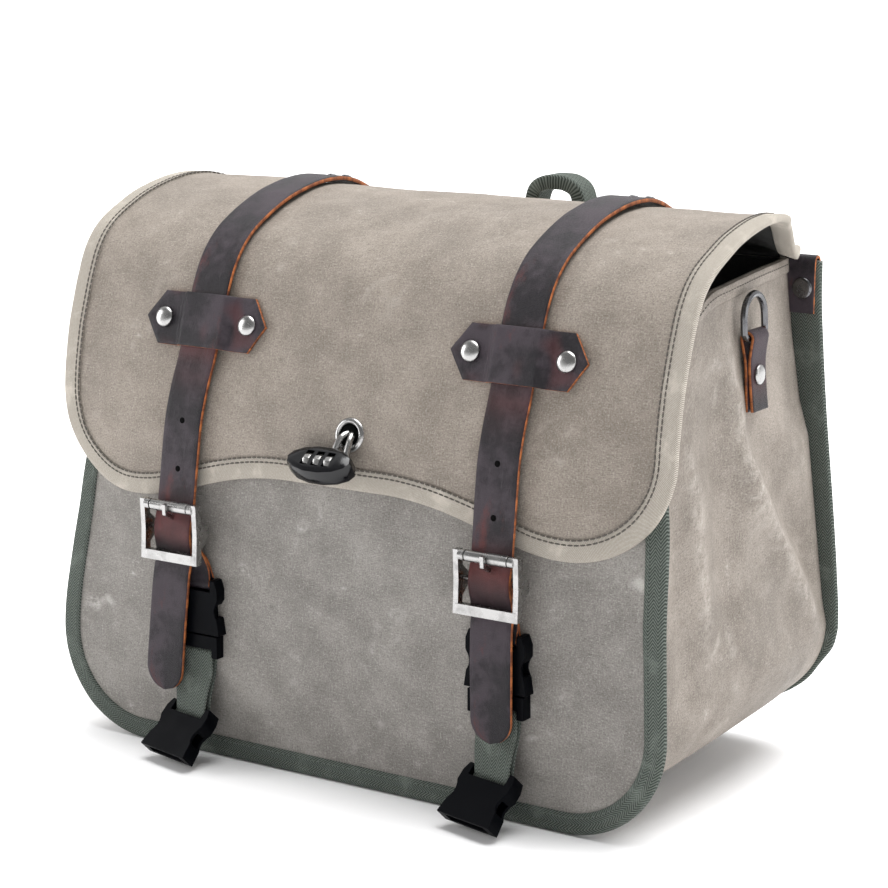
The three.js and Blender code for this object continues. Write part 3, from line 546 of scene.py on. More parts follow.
def band(name, path, across, width, thick, look, edge_look, widths=None, closed=False, worn=None):
    """A flat strap from its middle line (x, y, z) in millimetres, its width's direction and its two sizes."""
    path = np.asarray(path, float)
    if closed:
        along = unit(np.roll(path, -1, axis=0) - np.roll(path, 1, axis=0))
    else:
        along = unit(np.gradient(path, axis=0))
    across = np.broadcast_to(np.asarray(across, float), path.shape)
    across = unit(across - (across * along).sum(axis=1, keepdims=True) * along)
    out = np.cross(across, along)
    widths = np.full(len(path), float(width)) if widths is None else np.asarray(widths, float)
    half_thick, round_off = thick / 2, min(MOST_ROUNDING, ROUNDING_SHARE * thick)

    def both(flat, edge):
        """Round the section: a face and an edge, then the same with the other sign."""
        return np.concatenate([flat, edge, np.negative(flat), np.negative(edge)])

    inner = np.linspace(-1, 1, FLAT_POINTS)
    share = both(inner, np.ones(3))
    height = both(np.full(FLAT_POINTS, half_thick), half_thick * np.array([EDGE_SHARE, 0, -EDGE_SHARE]))
    around = both(inner * width / 2, np.full(3, width / 2 + RAW_EDGE_UV))
    face_tuck = np.where(np.abs(inner) == 1, -round_off, 0.0)
    edge_tuck = -round_off * np.array([EDGE_BULGE, 0, EDGE_BULGE])
    tuck = np.tile(np.concatenate([face_tuck, edge_tuck]), 2)
    side = share[None, :] * (widths[:, None] / 2 + tuck[None, :])
    rise = np.broadcast_to(height[None, :], side.shape)
    rings = path[:, None, :] + side[..., None] * across[:, None, :] + rise[..., None] * out[:, None, :]
    side_slots = ([0] * FLAT_POINTS + [1, 1, 0]) * 2
    return swept(name, placed(rings), [look, edge_look], side_slots, around, closed, worn)


def turned(name, profile, look, centre, axis, segments=40):
    """A turned piece: profile holds (radius, height) in millimetres, heights going along axis from centre."""
    angles = np.linspace(0, 2 * np.pi, segments, endpoint=False)
    rings = np.array([[(r * np.cos(a), r * np.sin(a), h) for a in angles] for r, h in profile])
    turn = np.array(Vector(axis).to_track_quat("Z", "Y").to_matrix())
    rings = rings @ turn.T + np.asarray(centre, float)
    return swept(name, placed(rings), [look], [0] * segments, np.zeros(segments))


STITCH_SHAPE = [(-0.5, 0.0), (-0.38, 0.75), (0.0, 1.0), (0.38, 0.75), (0.5, 0.0)]  # (along, radius) as shares
STITCH_LIFT = 0.1  # the thread's middle above the cloth
THINNEST = 0.05  # radius of a stitch's ends, as a share


def stitches(name, points, out, look, pitch=3.4, length=2.3, radius=0.34):
    """A row of thread stitches lying along a line of points on a surface that faces out."""
    line = np.asarray(points, float)
    count = max(2, int(length_along(line)[-1] / pitch))
    spots = resample(np.hstack([line, out]), count)
    places, outward = spots[:, :3], unit(spots[:, 3:])
    along = unit(np.gradient(places, axis=0))
    side = np.cross(outward, along)
    angles = np.linspace(0, 2 * np.pi, 6, endpoint=False)
    points, faces = [], []
    template = grid_faces(len(STITCH_SHAPE), len(angles), close_cols=True)
    for k in range(count):
        start = len(points)
        for share, size in STITCH_SHAPE:
            spread = max(size, THINNEST) * radius
            middle = places[k] + along[k] * share * length
            for angle in angles:
                rise = spread * math.sin(angle) + STITCH_LIFT
                points.append(middle + side[k] * spread * math.cos(angle) + outward[k] * rise)
        faces += [tuple(start + i for i in face) for face in template]
    return add_mesh(name, placed(points), faces, [look])


def stand_for(obj, node):
    """obj shows in place of this CAD node and rides on its body."""
    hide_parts(node)
    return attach(obj, body_of(frame["nodes"][node])[0])


def goes_with(obj, body):
    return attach(obj, body)


# ---------------------------------------------------------------- sewn panels


class Panel:
    """A sewn panel drawn flat as (x, s), s running along its side view, then bent and creased.

    bend takes and returns points (x, y, z); relief gives how far the surface stands out at (x, s).
    """

    def __init__(self, side_view, bend, relief):
        self.view = spline(side_view, 400)
        self.s = length_along(self.view)
        along = unit(np.gradient(self.view, axis=0))
        self.normal = np.stack([-along[:, 1], along[:, 0]], axis=1)
        self.bend = bend
        self.relief = relief

    def at(self, s, values):
        """The two columns of values, read off at s."""
        return np.interp(s, self.s, values[:, 0]), np.interp(s, self.s, values[:, 1])

    def place(self, x, s, out):
        """Points (x, y, z) of the panel's surface raised by out."""
        x, s, out = np.broadcast_arrays(*(np.asarray(v, float) for v in (x, s, out)))
        out = out + self.relief(x, s)
        (y, z), (normal_y, normal_z) = self.at(s, self.view), self.at(s, self.normal)
        return self.bend(np.stack([x, y + out * normal_y, z + out * normal_z], axis=-1))

    def outward(self, s):
        """Unit normals of the drawn surface, without its creases."""
        return unit(np.stack([np.zeros_like(s), *self.at(s, self.normal)], axis=-1))

    def grid(self, left, bottom, right, rows, cols):
        """A grid (x, s) filling the outline: left and right run up from the ends of bottom."""
        low = resample(bottom, cols)
        left, right = resample(left, rows), resample(right, rows)
        high = np.linspace(left[-1], right[-1], cols)
        u = np.linspace(0, 1, cols)[None, :, None]
        v = np.linspace(0, 1, rows)[:, None, None]
        ruled = (1 - v) * low[None] + v * high[None] + (1 - u) * left[:, None] + u * right[:, None]
        corners = (1 - u) * (1 - v) * low[0] + u * (1 - v) * low[-1]
        corners = corners + (1 - u) * v * high[0] + u * v * high[-1]
        return ruled - corners

    def cloth(self, name, outline, rows, cols, look, worn):
        flat = self.grid(*outline, rows, cols)
        x, s = flat[..., 0], flat[..., 1]
        outer, inner = placed(self.place(x, s, 0.0)), placed(self.place(x, s, -CLOTH))
        return sheet_mesh(name, outer, inner, flat * MM, [look, LINING, look], worn(x, s))

    def edge(self, outline, spacing=2.5):
        """The outline as one line from the top of its left side round to the top of its right side."""
        left, bottom, right = (np.asarray(part, float) for part in outline)
        whole = np.vstack([left[::-1], bottom[1:], right[1:]])
        line = resample(whole, int(length_along(whole)[-1] / spacing))
        along = unit(np.gradient(line, axis=0))
        x, s = line.T
        turning = np.sign(np.sum(x * np.roll(s, -1) - s * np.roll(x, -1)))
        inward = turning * np.stack([-along[:, 1], along[:, 0]], axis=1)
        return line, inward

    def binding(self, name, outline, look, proud, under=BINDING):
        """Tape folded over the panel's edge, proud outside and reaching in by under on the hidden side."""
        line, inward = self.edge(outline)
        inset, rise = np.array([
            (BINDING, -0.2), (BINDING - 0.25, 0.75 * proud), (BINDING - 1.2, proud), (7.5, 0.9 * proud),
            (4.0, proud), (1.2, 1.05 * proud), (0.2, 0.5 * proud),
            (-0.35, -0.3 * CLOTH), (-0.35, -0.7 * CLOTH), (0.2, -CLOTH - 0.5), (1.2, -CLOTH - 0.9),
            (6.0, -CLOTH - 0.8), (under - 1, -CLOTH - 0.8), (under, -CLOTH + 0.2),
        ]).T
        x, s = (line[:, None, k] + inward[:, None, k] * inset[None, :] for k in (0, 1))
        rings = self.place(x, s, rise[None, :])
        return swept(name, placed(rings), [look], [0] * len(inset), inset)

    def stitch_row(self, name, outline, inset, look, height, **sizes):
        line, inward = self.edge(outline)
        x, s = (line + inward * inset).T
        return stitches(name, self.place(x, s, height), self.outward(s), look, **sizes)


# The front panel and, behind it, the back panel: the right halves of their outlines (x, z), the lower
# corner from the bottom out, then the side upwards.
FRONT_CORNER = arc(HALF_WIDTH - CORNER, CORNER, CORNER, 270, 360, 24)
FRONT_SIDE = spline([(HALF_WIDTH, CORNER), (195, 147), (188.5, 195), (183.5, 236)], 40)
BACK_CORNER = spline([(144.5, 22), (164, 26), (181, 37), (191, 50), (198, 60), (200.5, 70)], 30)
BACK_SIDE = spline([(200.5, 70), (200, 87), (195.9, 133), (188.7, 200), (184.6, 251), (184, 278)], 40)


def u_outline(corner, side, to_s):
    """Outline (left, bottom, right) of a panel with two round lower corners, in (x, s)."""
    corner, side = np.asarray(corner), resample(side, 40)
    bottom = np.vstack([corner[::-1] * [-1, 1], corner])
    return [np.stack([part[:, 0], to_s(part[:, 1])], axis=1) for part in (side * [-1, 1], bottom, side)]


def lean_in(points):
    """The stuffed bag's side edges draw back near the top, and its left edge sinks in below the flap."""
    x, y, z = np.moveaxis(points, -1, 0)
    side = smooth(140, 200, np.abs(x))
    y = y + 11 * side * smooth(110, 195, z)
    x = x + 10.5 * smooth(-120, -198, x) * smooth(60, 140, z) * (1 - 0.5 * smooth(160, 210, z))
    return np.stack([x, y, z], axis=-1)


def front_relief(x, s):
    """The front swells in the middle and carries a few long soft folds."""
    belly = 4.0 * (1 - smooth(60, 190, np.abs(x))) * smooth(5, 60, s) * (1 - smooth(120, 210, s))
    folds = 1.8 * crease(x, s, (-60, 118), (40, 78), 11) - 1.5 * crease(x, s, (-50, 102), (50, 62), 9)
    folds += 2.0 * crease(x, s, (120, 70), (185, 118), 9) + 1.5 * crease(x, s, (-172, 96), (-128, 128), 8)
    folds -= 2.4 * crease(x, s, (158, 30), (150, 150), 14)
    folds += 1.0 * crease(x, s, (-30, 30), (70, 44), 8)
    small = 0.9 * ripple(x, s, 55, 3.0) + 0.35 * ripple(x, s, 17, 5.0)
    fade = smooth(0, 26, HALF_WIDTH - np.abs(x)) * smooth(0, 22, s)
    return (belly + folds + small) * fade


front = Panel(FRONT_VIEW, lean_in, front_relief)


def front_s(z):
    return np.interp(z, front.view[:, 1], front.s)


def back_relief(x, s):
    fade = smooth(0, 26, HALF_WIDTH - np.abs(x)) * smooth(0, 20, s) * (1 - smooth(255, 276, s))
    return (0.8 * ripple(x, s, 60, 9.0) + 0.3 * ripple(x, s, 18, 4.0)) * fade


back = Panel(BACK_VIEW, lambda points: points, back_relief)


def back_s(z):
    return np.interp(-np.asarray(z), -back.view[:, 1], back.s)


def chalky(seed, amount):
    """Where a panel's wax is rubbed pale: broken clouds."""

    def worn(x, s):
        clouds = smooth(0.18, 0.6, ripple(x, s, 38, seed)) * smooth(-0.1, 0.5, ripple(x, s, 9, seed + 2))
        return amount * clouds

    return worn


PANEL_GRID = 110, 190  # rows and columns of a panel's cloth


def add_panel(name, panel, outline, rubbed, under=BINDING):
    proud, stitch_inset, stitch_height = 1.2, BINDING - 2.2, 1.25
    cloth = panel.cloth(f"{name}_cloth", outline, *PANEL_GRID, CANVAS_FRONT, rubbed)
    stand_for(cloth, f"{name}_panel")
    tape = panel.binding(f"{name}_tape", outline, GREEN, proud, under)
    stand_for(tape, f"{name}_binding")
    row = panel.stitch_row(f"{name}_stitches", outline, stitch_inset, GREEN_THREAD, stitch_height)
    goes_with(row, "bag")


# The side and bottom band: its section where it meets each panel, right half, as the round corner's
# centre and radius and the side (z, x) above it.
GUSSET_FRONT = {
    "centre": (140.0, 58.0), "radius": 46.0,
    "side": [(58, 186), (150, 184.5), (200, 182), (278, 179)],
}
GUSSET_REAR = {
    "centre": (144.5, 74.0), "radius": 50.0,
    "side": [(74, 194.5), (87, 191.6), (132, 186), (180, 180), (200, 174), (238, 168), (278, 164)],
}
BOTTOM_SHARE, CORNER_SHARE = 0.2, 0.2  # how much of a half section's run is bottom and corner
SIDE_SHARE = 1 - BOTTOM_SHARE - CORNER_SHARE
SIDE_HEIGHT = 220.0
SEAM_HEIGHTS = 20, 234  # between these the gusset starts from the front panel
GUSSET_GRID = 320, 84
GUSSET_WIDTH = 197.0  # from seam to seam
LONG_FOLD = (-9, 186), (80, 74)  # the ends (y, z) of the sides' strongest folds
MIDDLE_FOLD = (-4, 250), (2, 140)
FRONT_FOLD = (-60, 206), (-46, 96)
HEM_POINTS = 60
HEM_SECTION = [(-0.6, 0.0), (-0.4, 1.1), (0.6, 1.5), (8.0, 1.3), (9.0, 0.2), (8.0, -0.6)]  # (depth, height)
HEM_AROUND = [0, 1, 2, 9, 10, 11]  # millimetres round it, for the texture
HEM_STITCHES = 3.4, 1.5  # (depth, height)


def half_section(shape, run, top):
    """Points (x, z) and their outward angle; run goes 0 to 1 from the bottom's middle to the side's top."""
    (centre_x, centre_z), radius = shape["centre"], shape["radius"]
    angle = np.radians(-90 + 90 * np.clip((run - BOTTOM_SHARE) / CORNER_SHARE, 0, 1))
    rise = np.clip((run - BOTTOM_SHARE - CORNER_SHARE) / SIDE_SHARE, 0, 1)
    x = centre_x * np.clip(run / BOTTOM_SHARE, 0, 1) + radius * np.cos(angle)
    z = centre_z + radius * np.sin(angle) + rise * (top - centre_z)
    heights, edges = np.array(shape["side"], float).T
    return np.where(rise > 0, np.interp(z, heights, edges), x), z, angle


def front_seam(x, z):
    """Points of the front panel at (x, z), where the gusset meets it."""
    return front.place(x, front_s(np.clip(z, *SEAM_HEIGHTS)), 0.0)


def gusset_surface(k, w, out):
    """Points of the gusset: k runs from the left top round the bottom to the right top, w front to back."""
    run, sign = np.abs(2 * k - 1), np.sign(k - 0.5)
    x_front, z_front, _ = half_section(GUSSET_FRONT, run, HEM_VIEW[0][1])
    y = front_seam(sign * x_front, z_front)[..., 1] + CLOTH
    y = y + (HALF_DEPTH - CLOTH - y) * w
    hem = spline(HEM_VIEW, HEM_POINTS)
    top = np.interp(y, hem[:, 0], hem[:, 1])
    x_front, z_front, angle = half_section(GUSSET_FRONT, run, top)
    x_rear, z_rear, _ = half_section(GUSSET_REAR, run, top)
    x = front_seam(sign * x_front, z_front)[..., 0]
    x = x + (sign * x_rear - x) * w
    z = z_front + (z_rear - z_front) * w
    swell = gusset_relief(y, z, run, w) + out
    return np.stack([x + sign * np.cos(angle) * swell, y, z + np.sin(angle) * swell], axis=-1)


def gusset_relief(y, z, run, w):
    """The sides swell between their seams and fold where the bag slumps; the bottom stays nearly flat."""
    side = smooth(0.25, 0.42, run)
    full = np.sin(np.pi * np.clip(w, 0, 1)) ** 0.7
    swell = full * (4.0 + 4.0 * smooth(20, 90, z) * (1 - smooth(170, 262, z)))
    folds = 6.4 * crease(y, z, *LONG_FOLD, 11) - 6.0 * crease(y, z, (14, 200), (100, 94), 13)
    folds += 4.0 * crease(y, z, *MIDDLE_FOLD, 10) - 4.2 * crease(y, z, (-27, 226), (-22, 90), 12)
    folds += 2.6 * crease(y, z, *FRONT_FOLD, 10) - 2.2 * crease(y, z, (-76, 180), (-64, 70), 8)
    folds += 2.4 * crease(y, z, (-30, 110), (60, 46), 12) + 2.0 * crease(y, z, (40, 196), (92, 160), 9)
    small = 1.6 * ripple(y, z, 40, 12.0) + 0.55 * ripple(y, z, 15, 14.0)
    fade = smooth(0, 0.1, w) * (1 - smooth(0.9, 1.0, w)) * (1 - 0.8 * bell(z, 232, 24) * bell(y, 20, 18))
    return swell * (0.3 + 0.7 * side) + (folds + small) * side * fade


def add_gusset():
    rows, cols = GUSSET_GRID
    k, w = np.meshgrid(np.linspace(0, 1, rows), np.linspace(0, 1, cols), indexing="ij")
    outer, inner = gusset_surface(k, w, 0.0), gusset_surface(k, w, -CLOTH)
    along = length_along(outer[:, cols // 2])
    uv = np.stack(np.broadcast_arrays(along[:, None], w * GUSSET_WIDTH), axis=-1) * MM
    y, z = outer[..., 1], outer[..., 2]
    # The sides pale along the crests of their long, middle and front folds: partly rubbed wax, partly painted
    # highlight on the fold ridges; the chalky clouds are rubbed wax.
    worn = 0.4 * (crease(y, z, *LONG_FOLD, 6) + crease(y, z, *MIDDLE_FOLD, 6))
    worn = np.clip(worn + 0.5 * crease(y, z, *FRONT_FOLD, 5) + chalky(21.0, 0.4)(y, z), 0, 1)
    looks = [CANVAS_SIDE, LINING, CANVAS_SIDE]
    stand_for(sheet_mesh("gusset_cloth", placed(outer), placed(inner), uv, looks, worn), "gusset")
    for name, sign in SIDES.items():
        add_hem(name, sign)


def add_hem(name, sign):
    """The turned and stitched top edge of one side."""
    wide = np.linspace(0.02, 0.98, HEM_POINTS)
    top = np.full(HEM_POINTS, 0.0 if sign < 0 else 1.0)
    down = -sign * SIDE_SHARE / 2 / SIDE_HEIGHT  # change of k for each millimetre down the side
    rings = [gusset_surface(top + down * depth, wide, height) for depth, height in HEM_SECTION]
    rings = placed(np.stack(rings, axis=1))
    hem = swept(f"hem_{name}", rings, [CANVAS_SIDE], [0] * len(HEM_SECTION), HEM_AROUND)
    goes_with(hem, "bag")
    depth, height = HEM_STITCHES
    line = gusset_surface(top + down * depth, wide, height)
    out = np.tile([float(sign), 0.0, 0.0], (HEM_POINTS, 1))
    goes_with(stitches(f"hem_stitches_{name}", line, out, DARK_THREAD), "bag")


BOARD_GRID = 12
BOARD_GAP = 0.8  # between the board and the lining


def add_base_board():
    """The stiff board lying on the bag's sloping bottom."""
    low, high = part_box("base_board")
    x, y = (np.linspace(low[k], high[k], BOARD_GRID) for k in (0, 1))
    x, y = np.meshgrid(x, y, indexing="ij")
    front_floor, back_floor = (part["centre"][1] - part["radius"] for part in (GUSSET_FRONT, GUSSET_REAR))
    share = (y / MM - SHIFT + HALF_DEPTH) / (2 * HALF_DEPTH)
    floor = (front_floor + (back_floor - front_floor) * share + CLOTH + BOARD_GAP) * MM
    thick = high[2] - low[2]
    under, over = np.stack([x, y, floor], axis=-1), np.stack([x, y, floor + thick], axis=-1)
    board = sheet_mesh("base_board_sheet", over, under, np.stack([x, y], axis=-1), [BOARD] * 3)
    stand_for(board, "base_board")


# ---------------------------------------------------------------- flap


def curl_back(points):
    """The flap's side edges hang back from its middle below the ridge and dip a little along the top."""
    x, y, z = np.moveaxis(points, -1, 0)
    side = smooth(120, 200, np.abs(x))
    hanging = 1 - smooth(185, 240, z)
    lip = smooth(150, 184, np.abs(x)) * bell(y, 78, 13) * smooth(270, 285, z)
    z = z - 6.0 * lip
    y = y + side * (8.5 * hanging + 2.0 * (1 - smooth(262, 292, z)))
    return np.stack([x, y, z], axis=-1)


def flap_relief(x, s):
    """Shallow valleys under the straps, long soft waves and three folds, all fading out over the hinge."""
    waves = 1.4 * ripple(x, s, 95, 31.0) + 0.7 * ripple(x, s, 38, 33.0) + 0.25 * ripple(x, s, 14, 36.0)
    pulled = sum(-1.0 * bell(x, middle, 16) for middle in STRAP_TOP_X.values())
    folds = 1.2 * crease(x, s, (-20, 150), (60, 120), 14) - 1.0 * crease(x, s, (120, 60), (170, 150), 12)
    folds += 1.0 * crease(x, s, (-60, 60), (-20, 110), 12)
    hinge = smooth(395, 425, s) * (1 - smooth(450, 480, s))
    fade = smooth(0, 26, HALF_WIDTH - np.abs(x)) * smooth(4, 26, s) * (1 - hinge)
    return (waves + pulled + folds) * fade


flap = Panel(FLAP_VIEW, curl_back, flap_relief)


def flap_s_at_z(z):
    front_part = flap.view[:, 0] < -20
    return np.interp(z, flap.view[front_part, 1], flap.s[front_part])


def flap_s_at_y(y):
    top_part = (flap.view[:, 0] > -60) & (flap.s < flap.s[np.argmax(flap.view[:, 0] > 104)])
    return np.interp(y, flap.view[top_part, 0], flap.s[top_part])


FLAP_GRID = 190, 190
FLAP_SIDE = [(196, 28), (190, 45), (184, 62), (180, 76), (174, 92), (169, 101)]  # half width at each y
FLAP_END = 168  # half width at its back edge
# The outer row is the seam's thread; the inner row, a dark thread line along the binding's inner edge, is
# painted shadow of that edge.
FLAP_THREAD_AND_SHADE_ROWS = {"outer": BINDING - 2.6, "inner": BINDING - 0.1}  # how far each row lies from the edge


def flap_outline():
    """Two rounded lobes with a shallow arch between, straight sides, and narrower behind the ridge."""
    lobe, arch, corner = 146.0, 167.0, 55.0
    centre = HALF_WIDTH - corner
    right_half = np.vstack([
        bezier((30, arch), (80, arch), (105, lobe), (centre, lobe), 30),
        arc(centre, lobe + corner, corner, 270, 360, 26)[1:],
    ])
    hem = np.vstack([right_half[::-1] * [-1, 1], right_half])
    hem[:, 1] = flap_s_at_z(hem[:, 1])
    straight = [flap_s_at_z(lobe + corner), flap_s_at_z(255), flap_s_at_y(-30)]
    side = [(HALF_WIDTH, s) for s in straight] + [(x, flap_s_at_y(y)) for x, y in FLAP_SIDE]
    side = spline(side + [(FLAP_END, flap.s[-1])], 160)
    return [side * [-1, 1], hem, side]


def add_flap():
    outline = flap_outline()
    proud, stitch_height, thread, stitch = 0.9, 0.85, 0.5, 3.1
    cloth = flap.cloth("flap_cloth", outline, *FLAP_GRID, CANVAS, chalky(41.0, 0.35))
    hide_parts("flap_panel", "flap_rear")
    tape = flap.binding("flap_tape", outline, BEIGE, proud)
    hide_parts("flap_binding")
    pieces = [(cloth, "canvas"), (tape, "beige_binding")]
    # The inner row paints the shadow along the binding's inner edge.
    for name, inset in FLAP_THREAD_AND_SHADE_ROWS.items():
        row = flap.stitch_row(
            f"flap_seam_and_shade_{name}", outline, inset, DARK_THREAD, stitch_height, radius=thread, length=stitch)
        pieces.append((row, "beige_binding"))
    fold = placed([(0, HINGE_Y + FOLD_REACH, FOLD_Z), (0, HINGE_Y - FOLD_REACH, FOLD_Z)])
    for piece, slot in pieces:
        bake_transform(piece, "bag", "flap", tuple(fold[0]), tuple(fold[1]))


# ---------------------------------------------------------------- straps and leather

TIP = {"left": (-111.5, 38.0), "right": (104.4, 46.0)}  # x and z of the strap's lowest point
HOLE_HEIGHTS = (192.0, 165.0)
TAIL_VIEW = [
    (-114.5, 30), (-114.2, 80), (-113.6, 104), (-112.3, 117), (-115.2, 131), (-112.4, 146), (-110.2, 168),
]
OVER_FLAP = 2.9  # the strap's middle above the flap's outer face
STRAP_MEETS_Z, STRAP_ENDS_Y = 186, 54  # it lies on the flap between these
TIP_ROUND = 13.0  # length of the strap's rounded tip
BUCKLE_Z = 131  # where the strap bends through its buckle
RIVET_ON_KEEPER = 28.7  # from the strap's middle
KEEPER_DOME = [
    (0.02, 0.0), (5.4, 0.0), (5.75, 0.5), (5.6, 1.1), (5.0, 1.75), (3.9, 2.3), (2.4, 2.65), (0.9, 2.8),
    (0.02, 2.82),
]
TAB_DOME = [(0.02, 0.0), (5.2, 0.0), (5.5, 0.5), (5.2, 1.2), (4.0, 1.7), (2.0, 1.95), (0.02, 2.0)]
PATCH_DOME = [(0.02, 0.0), (5.6, 0.0), (6.0, 0.5), (5.7, 1.2), (4.4, 1.6), (2.2, 1.8), (0.02, 1.85)]
# Profile (radius, height) of the black disc laid on each strap hole as its painted shade.
HOLE_SHADE_DISC = [(0.02, 0.62), (1.5, 0.62), (1.7, 0.5), (1.7, 0.0), (0.02, 0.0)]


def add_leather(node, line, across, width, thick, **more):
    piece = band(f"{node}_leather", line, across, width, thick, LEATHER, RAW_EDGE, **more)
    stand_for(piece, node)


def add_rivet(node, dome, slot, centre, out):
    stand_for(turned(f"{node}_head", dome, HARD_LOOKS[slot], centre, out), node)


def at_x(x, view):
    """A side view's points (y, z) as a line (x, y, z)."""
    return np.column_stack([np.full(len(view), x), view])


def strap_line(name, count=260):
    """The strap's middle line (x, y, z) from its tip to its end behind the ridge."""
    tip_x, tip_z = TIP[name]
    over = np.array([(y, z) for y, z in flap.view if z > STRAP_MEETS_Z and y < STRAP_ENDS_Y])
    along = unit(np.gradient(over, axis=0))
    raised = over + np.stack([-along[:, 1], along[:, 0]], axis=1) * OVER_FLAP
    tip_y, apart, every = -114.3, 4, 14
    tail = [(y, z) for y, z in TAIL_VIEW if z > tip_z + apart]
    y, z = spline(np.vstack([[(tip_y, tip_z)], tail, raised[::every]]), count).T
    hanging = [tip_z, tip_z + TIP_ROUND, BUCKLE[name][2], 245]
    x = np.interp(z, hanging, [tip_x, tip_x, BUCKLE[name][0], STRAP_TOP_X[name]])
    x = np.where((y > -80) & (z > 245), STRAP_TOP_X[name], x)
    return np.stack([x, y, z], axis=1)


def station_at(line, height, front_of):
    """The index of the point nearest a height, on the part of a strap in front of the given y."""
    return np.argmin(np.where(line[:, 1] > front_of, np.inf, np.abs(line[:, 2] - height)))


def add_strap(name):
    line = strap_line(name)
    along = length_along(line)
    y, z = line[:, 1], line[:, 2]
    near_tip = np.clip(along, 0.02, TIP_ROUND)
    widths = STRAP_WIDTH * np.sqrt(1 - ((TIP_ROUND - near_tip) / TIP_ROUND) ** 2)
    wobble = 0.35 * ripple(along, 0, 30, 51.0 + SIDES[name])
    bent = bell(along, along[station_at(line, BUCKLE_Z, -100)], 14)
    rubbed = 0.75 * bell(z, 138, 11) * (y < -100) + 0.5 * bell(z, 228, 14) + 0.3 * bent
    rubbed = np.clip(rubbed * (0.7 + 0.6 * ripple(along, 0, 12, 77.0)), 0, 1)
    widths = widths + wobble * smooth(6, 20, along)
    add_leather(f"strap_{name}", line, (1, 0, 0), STRAP_WIDTH, STRAP_THICK, widths=widths, worn=rubbed)
    out = np.cross([1.0, 0.0, 0.0], unit(np.gradient(line, axis=0)))
    for i, height in enumerate(HOLE_HEIGHTS):
        k = station_at(line, height, -60)
        spot = line[k] + out[k] * (STRAP_THICK / 2 - 0.5)
        # Each hole is shown by a black disc on the strap: painted shade.
        goes_with(turned(f"strap_hole_shade_{name}_{i}", HOLE_SHADE_DISC, HOLE_SHADE_LOOK, spot, out[k], 20), "flap")


def add_keeper(name):
    """A pointed leather tab across the strap, held by two rivets."""
    centre = np.array([STRAP_TOP_X[name], -87.0, 244.5])
    lean = math.atan2(11, 35)
    half_width, half_height, point, leather = 41.0, 15.0, 10, 2.5
    up = np.array([0.0, math.sin(lean), math.cos(lean)])
    out = np.array([0.0, -math.cos(lean), math.sin(lean)])
    v = np.concatenate([[-1, -0.97], np.linspace(-0.9, 0.9, 19), [0.97, 1]])[:, None] * half_height
    reach = half_width - point * np.abs(v) / half_height
    u = np.concatenate([[-1, -0.985], np.linspace(-0.95, 0.95, 61), [0.985, 1]])[None, :]
    x = u * reach
    over_strap = 1 - smooth(STRAP_WIDTH / 2 + 0.5, STRAP_WIDTH / 2 + 6, np.abs(x))
    lift = 0.4 + 3.9 * over_strap + 0.5 * ripple(x, v, 18, 61.0) + 0.8 * smooth(30, 41, np.abs(x))
    rim = 0.55 * (smooth(0.93, 1.0, np.abs(u)) + smooth(0.93, 1.0, np.abs(v) / half_height)).clip(0, 1)
    base = centre + x[..., None] * [1, 0, 0] + v[..., None] * up
    under = placed(base + lift[..., None] * out)
    over = placed(base + (lift + leather - rim)[..., None] * out)
    uv = np.stack(np.broadcast_arrays(v + 40 * SIDES[name], x), axis=-1) * MM
    worn = 0.35 * smooth(0.1, 0.5, ripple(x, v, 16, 64.0))
    tab = sheet_mesh(f"keeper_{name}_leather", over, under, uv, [LEATHER, LEATHER, RAW_EDGE], worn)
    stand_for(tab, f"keeper_{name}")
    for end, sign in [("outer", SIDES[name]), ("inner", -SIDES[name])]:
        spot = centre + [sign * RIVET_ON_KEEPER, 0, 0] + (leather + 0.4) * out
        add_rivet(f"keeper_rivet_{name}_{end}", KEEPER_DOME, "nickel", spot, out)


def add_buckle_tab(name):
    """Leather folded round the buckle's hidden bar and the socket's bar, its layers a little askew."""
    x, y, z = BUCKLE[name][0], -109.8, 131.0
    low_x, low_y, low_z = centre_of(f"tab_socket_{name}")[0], -106.0, 101.0
    reach, thick = 2.35, 1.9
    view = np.vstack([
        arc(y, z, reach, 0, 180, 9),
        [(y - 1.5, 122.0), (low_y - 1.6, 110.0)],
        arc(low_y, low_z, reach, 180, 360, 9),
        [(low_y + 1.7, 112.0), (y + 1.9, 122.0)],
    ])
    view = spline(view, 90, closed=True)
    share = (z - view[:, 1]) / (z - low_z)
    askew = 1.6 * np.sign(view[:, 0] - (y + (low_y - y) * share)) * bell(share, 0.5, 0.35)
    line = np.column_stack([x + (low_x - x) * share - askew, view])
    add_leather(f"buckle_tab_{name}", line, (1, 0, 0), STRAP_WIDTH - 2, thick, closed=True)


def add_link_web(name):
    """Webbing looped round the plug's bar and the low socket's bar, twisted by the socket's turn."""
    hang_x = centre_of(f"tab_socket_{name}")[0]
    (top_y, top_z), (low_y, low_z) = (-106.0, 61.0), (-111.0, 25.8)
    reach, thick, twist = 2.2, 1.3, -13
    view = np.vstack([
        arc(top_y, top_z, reach, 0, 180, 9), [(top_y - 2.6, 50), (low_y - 0.8, 38)],
        arc(low_y, low_z, reach, 180, 360, 9), [(low_y + 3.0, 38), (top_y + 0.2, 50)],
    ])
    view = spline(view, 90, closed=True)
    share = np.clip((top_z - view[:, 1]) / (top_z - low_z), 0, 1)
    yaw = np.radians(twist) * smooth(0.25, 0.9, share)
    across = np.column_stack([np.cos(yaw), np.sin(yaw), np.zeros_like(yaw)])
    line = at_x(hang_x, view)
    web = band(f"link_web_{name}_tape", line, across, STRAP_WIDTH, thick, GREEN, GREEN, closed=True)
    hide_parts(f"link_web_{name}")
    bend_start, bend_end = placed([(hang_x, -109.2, 37.0), (hang_x, -110.8, 27.0)])
    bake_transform(web, f"link_{name}", f"lower_clip_{name}", tuple(bend_start), tuple(bend_end))


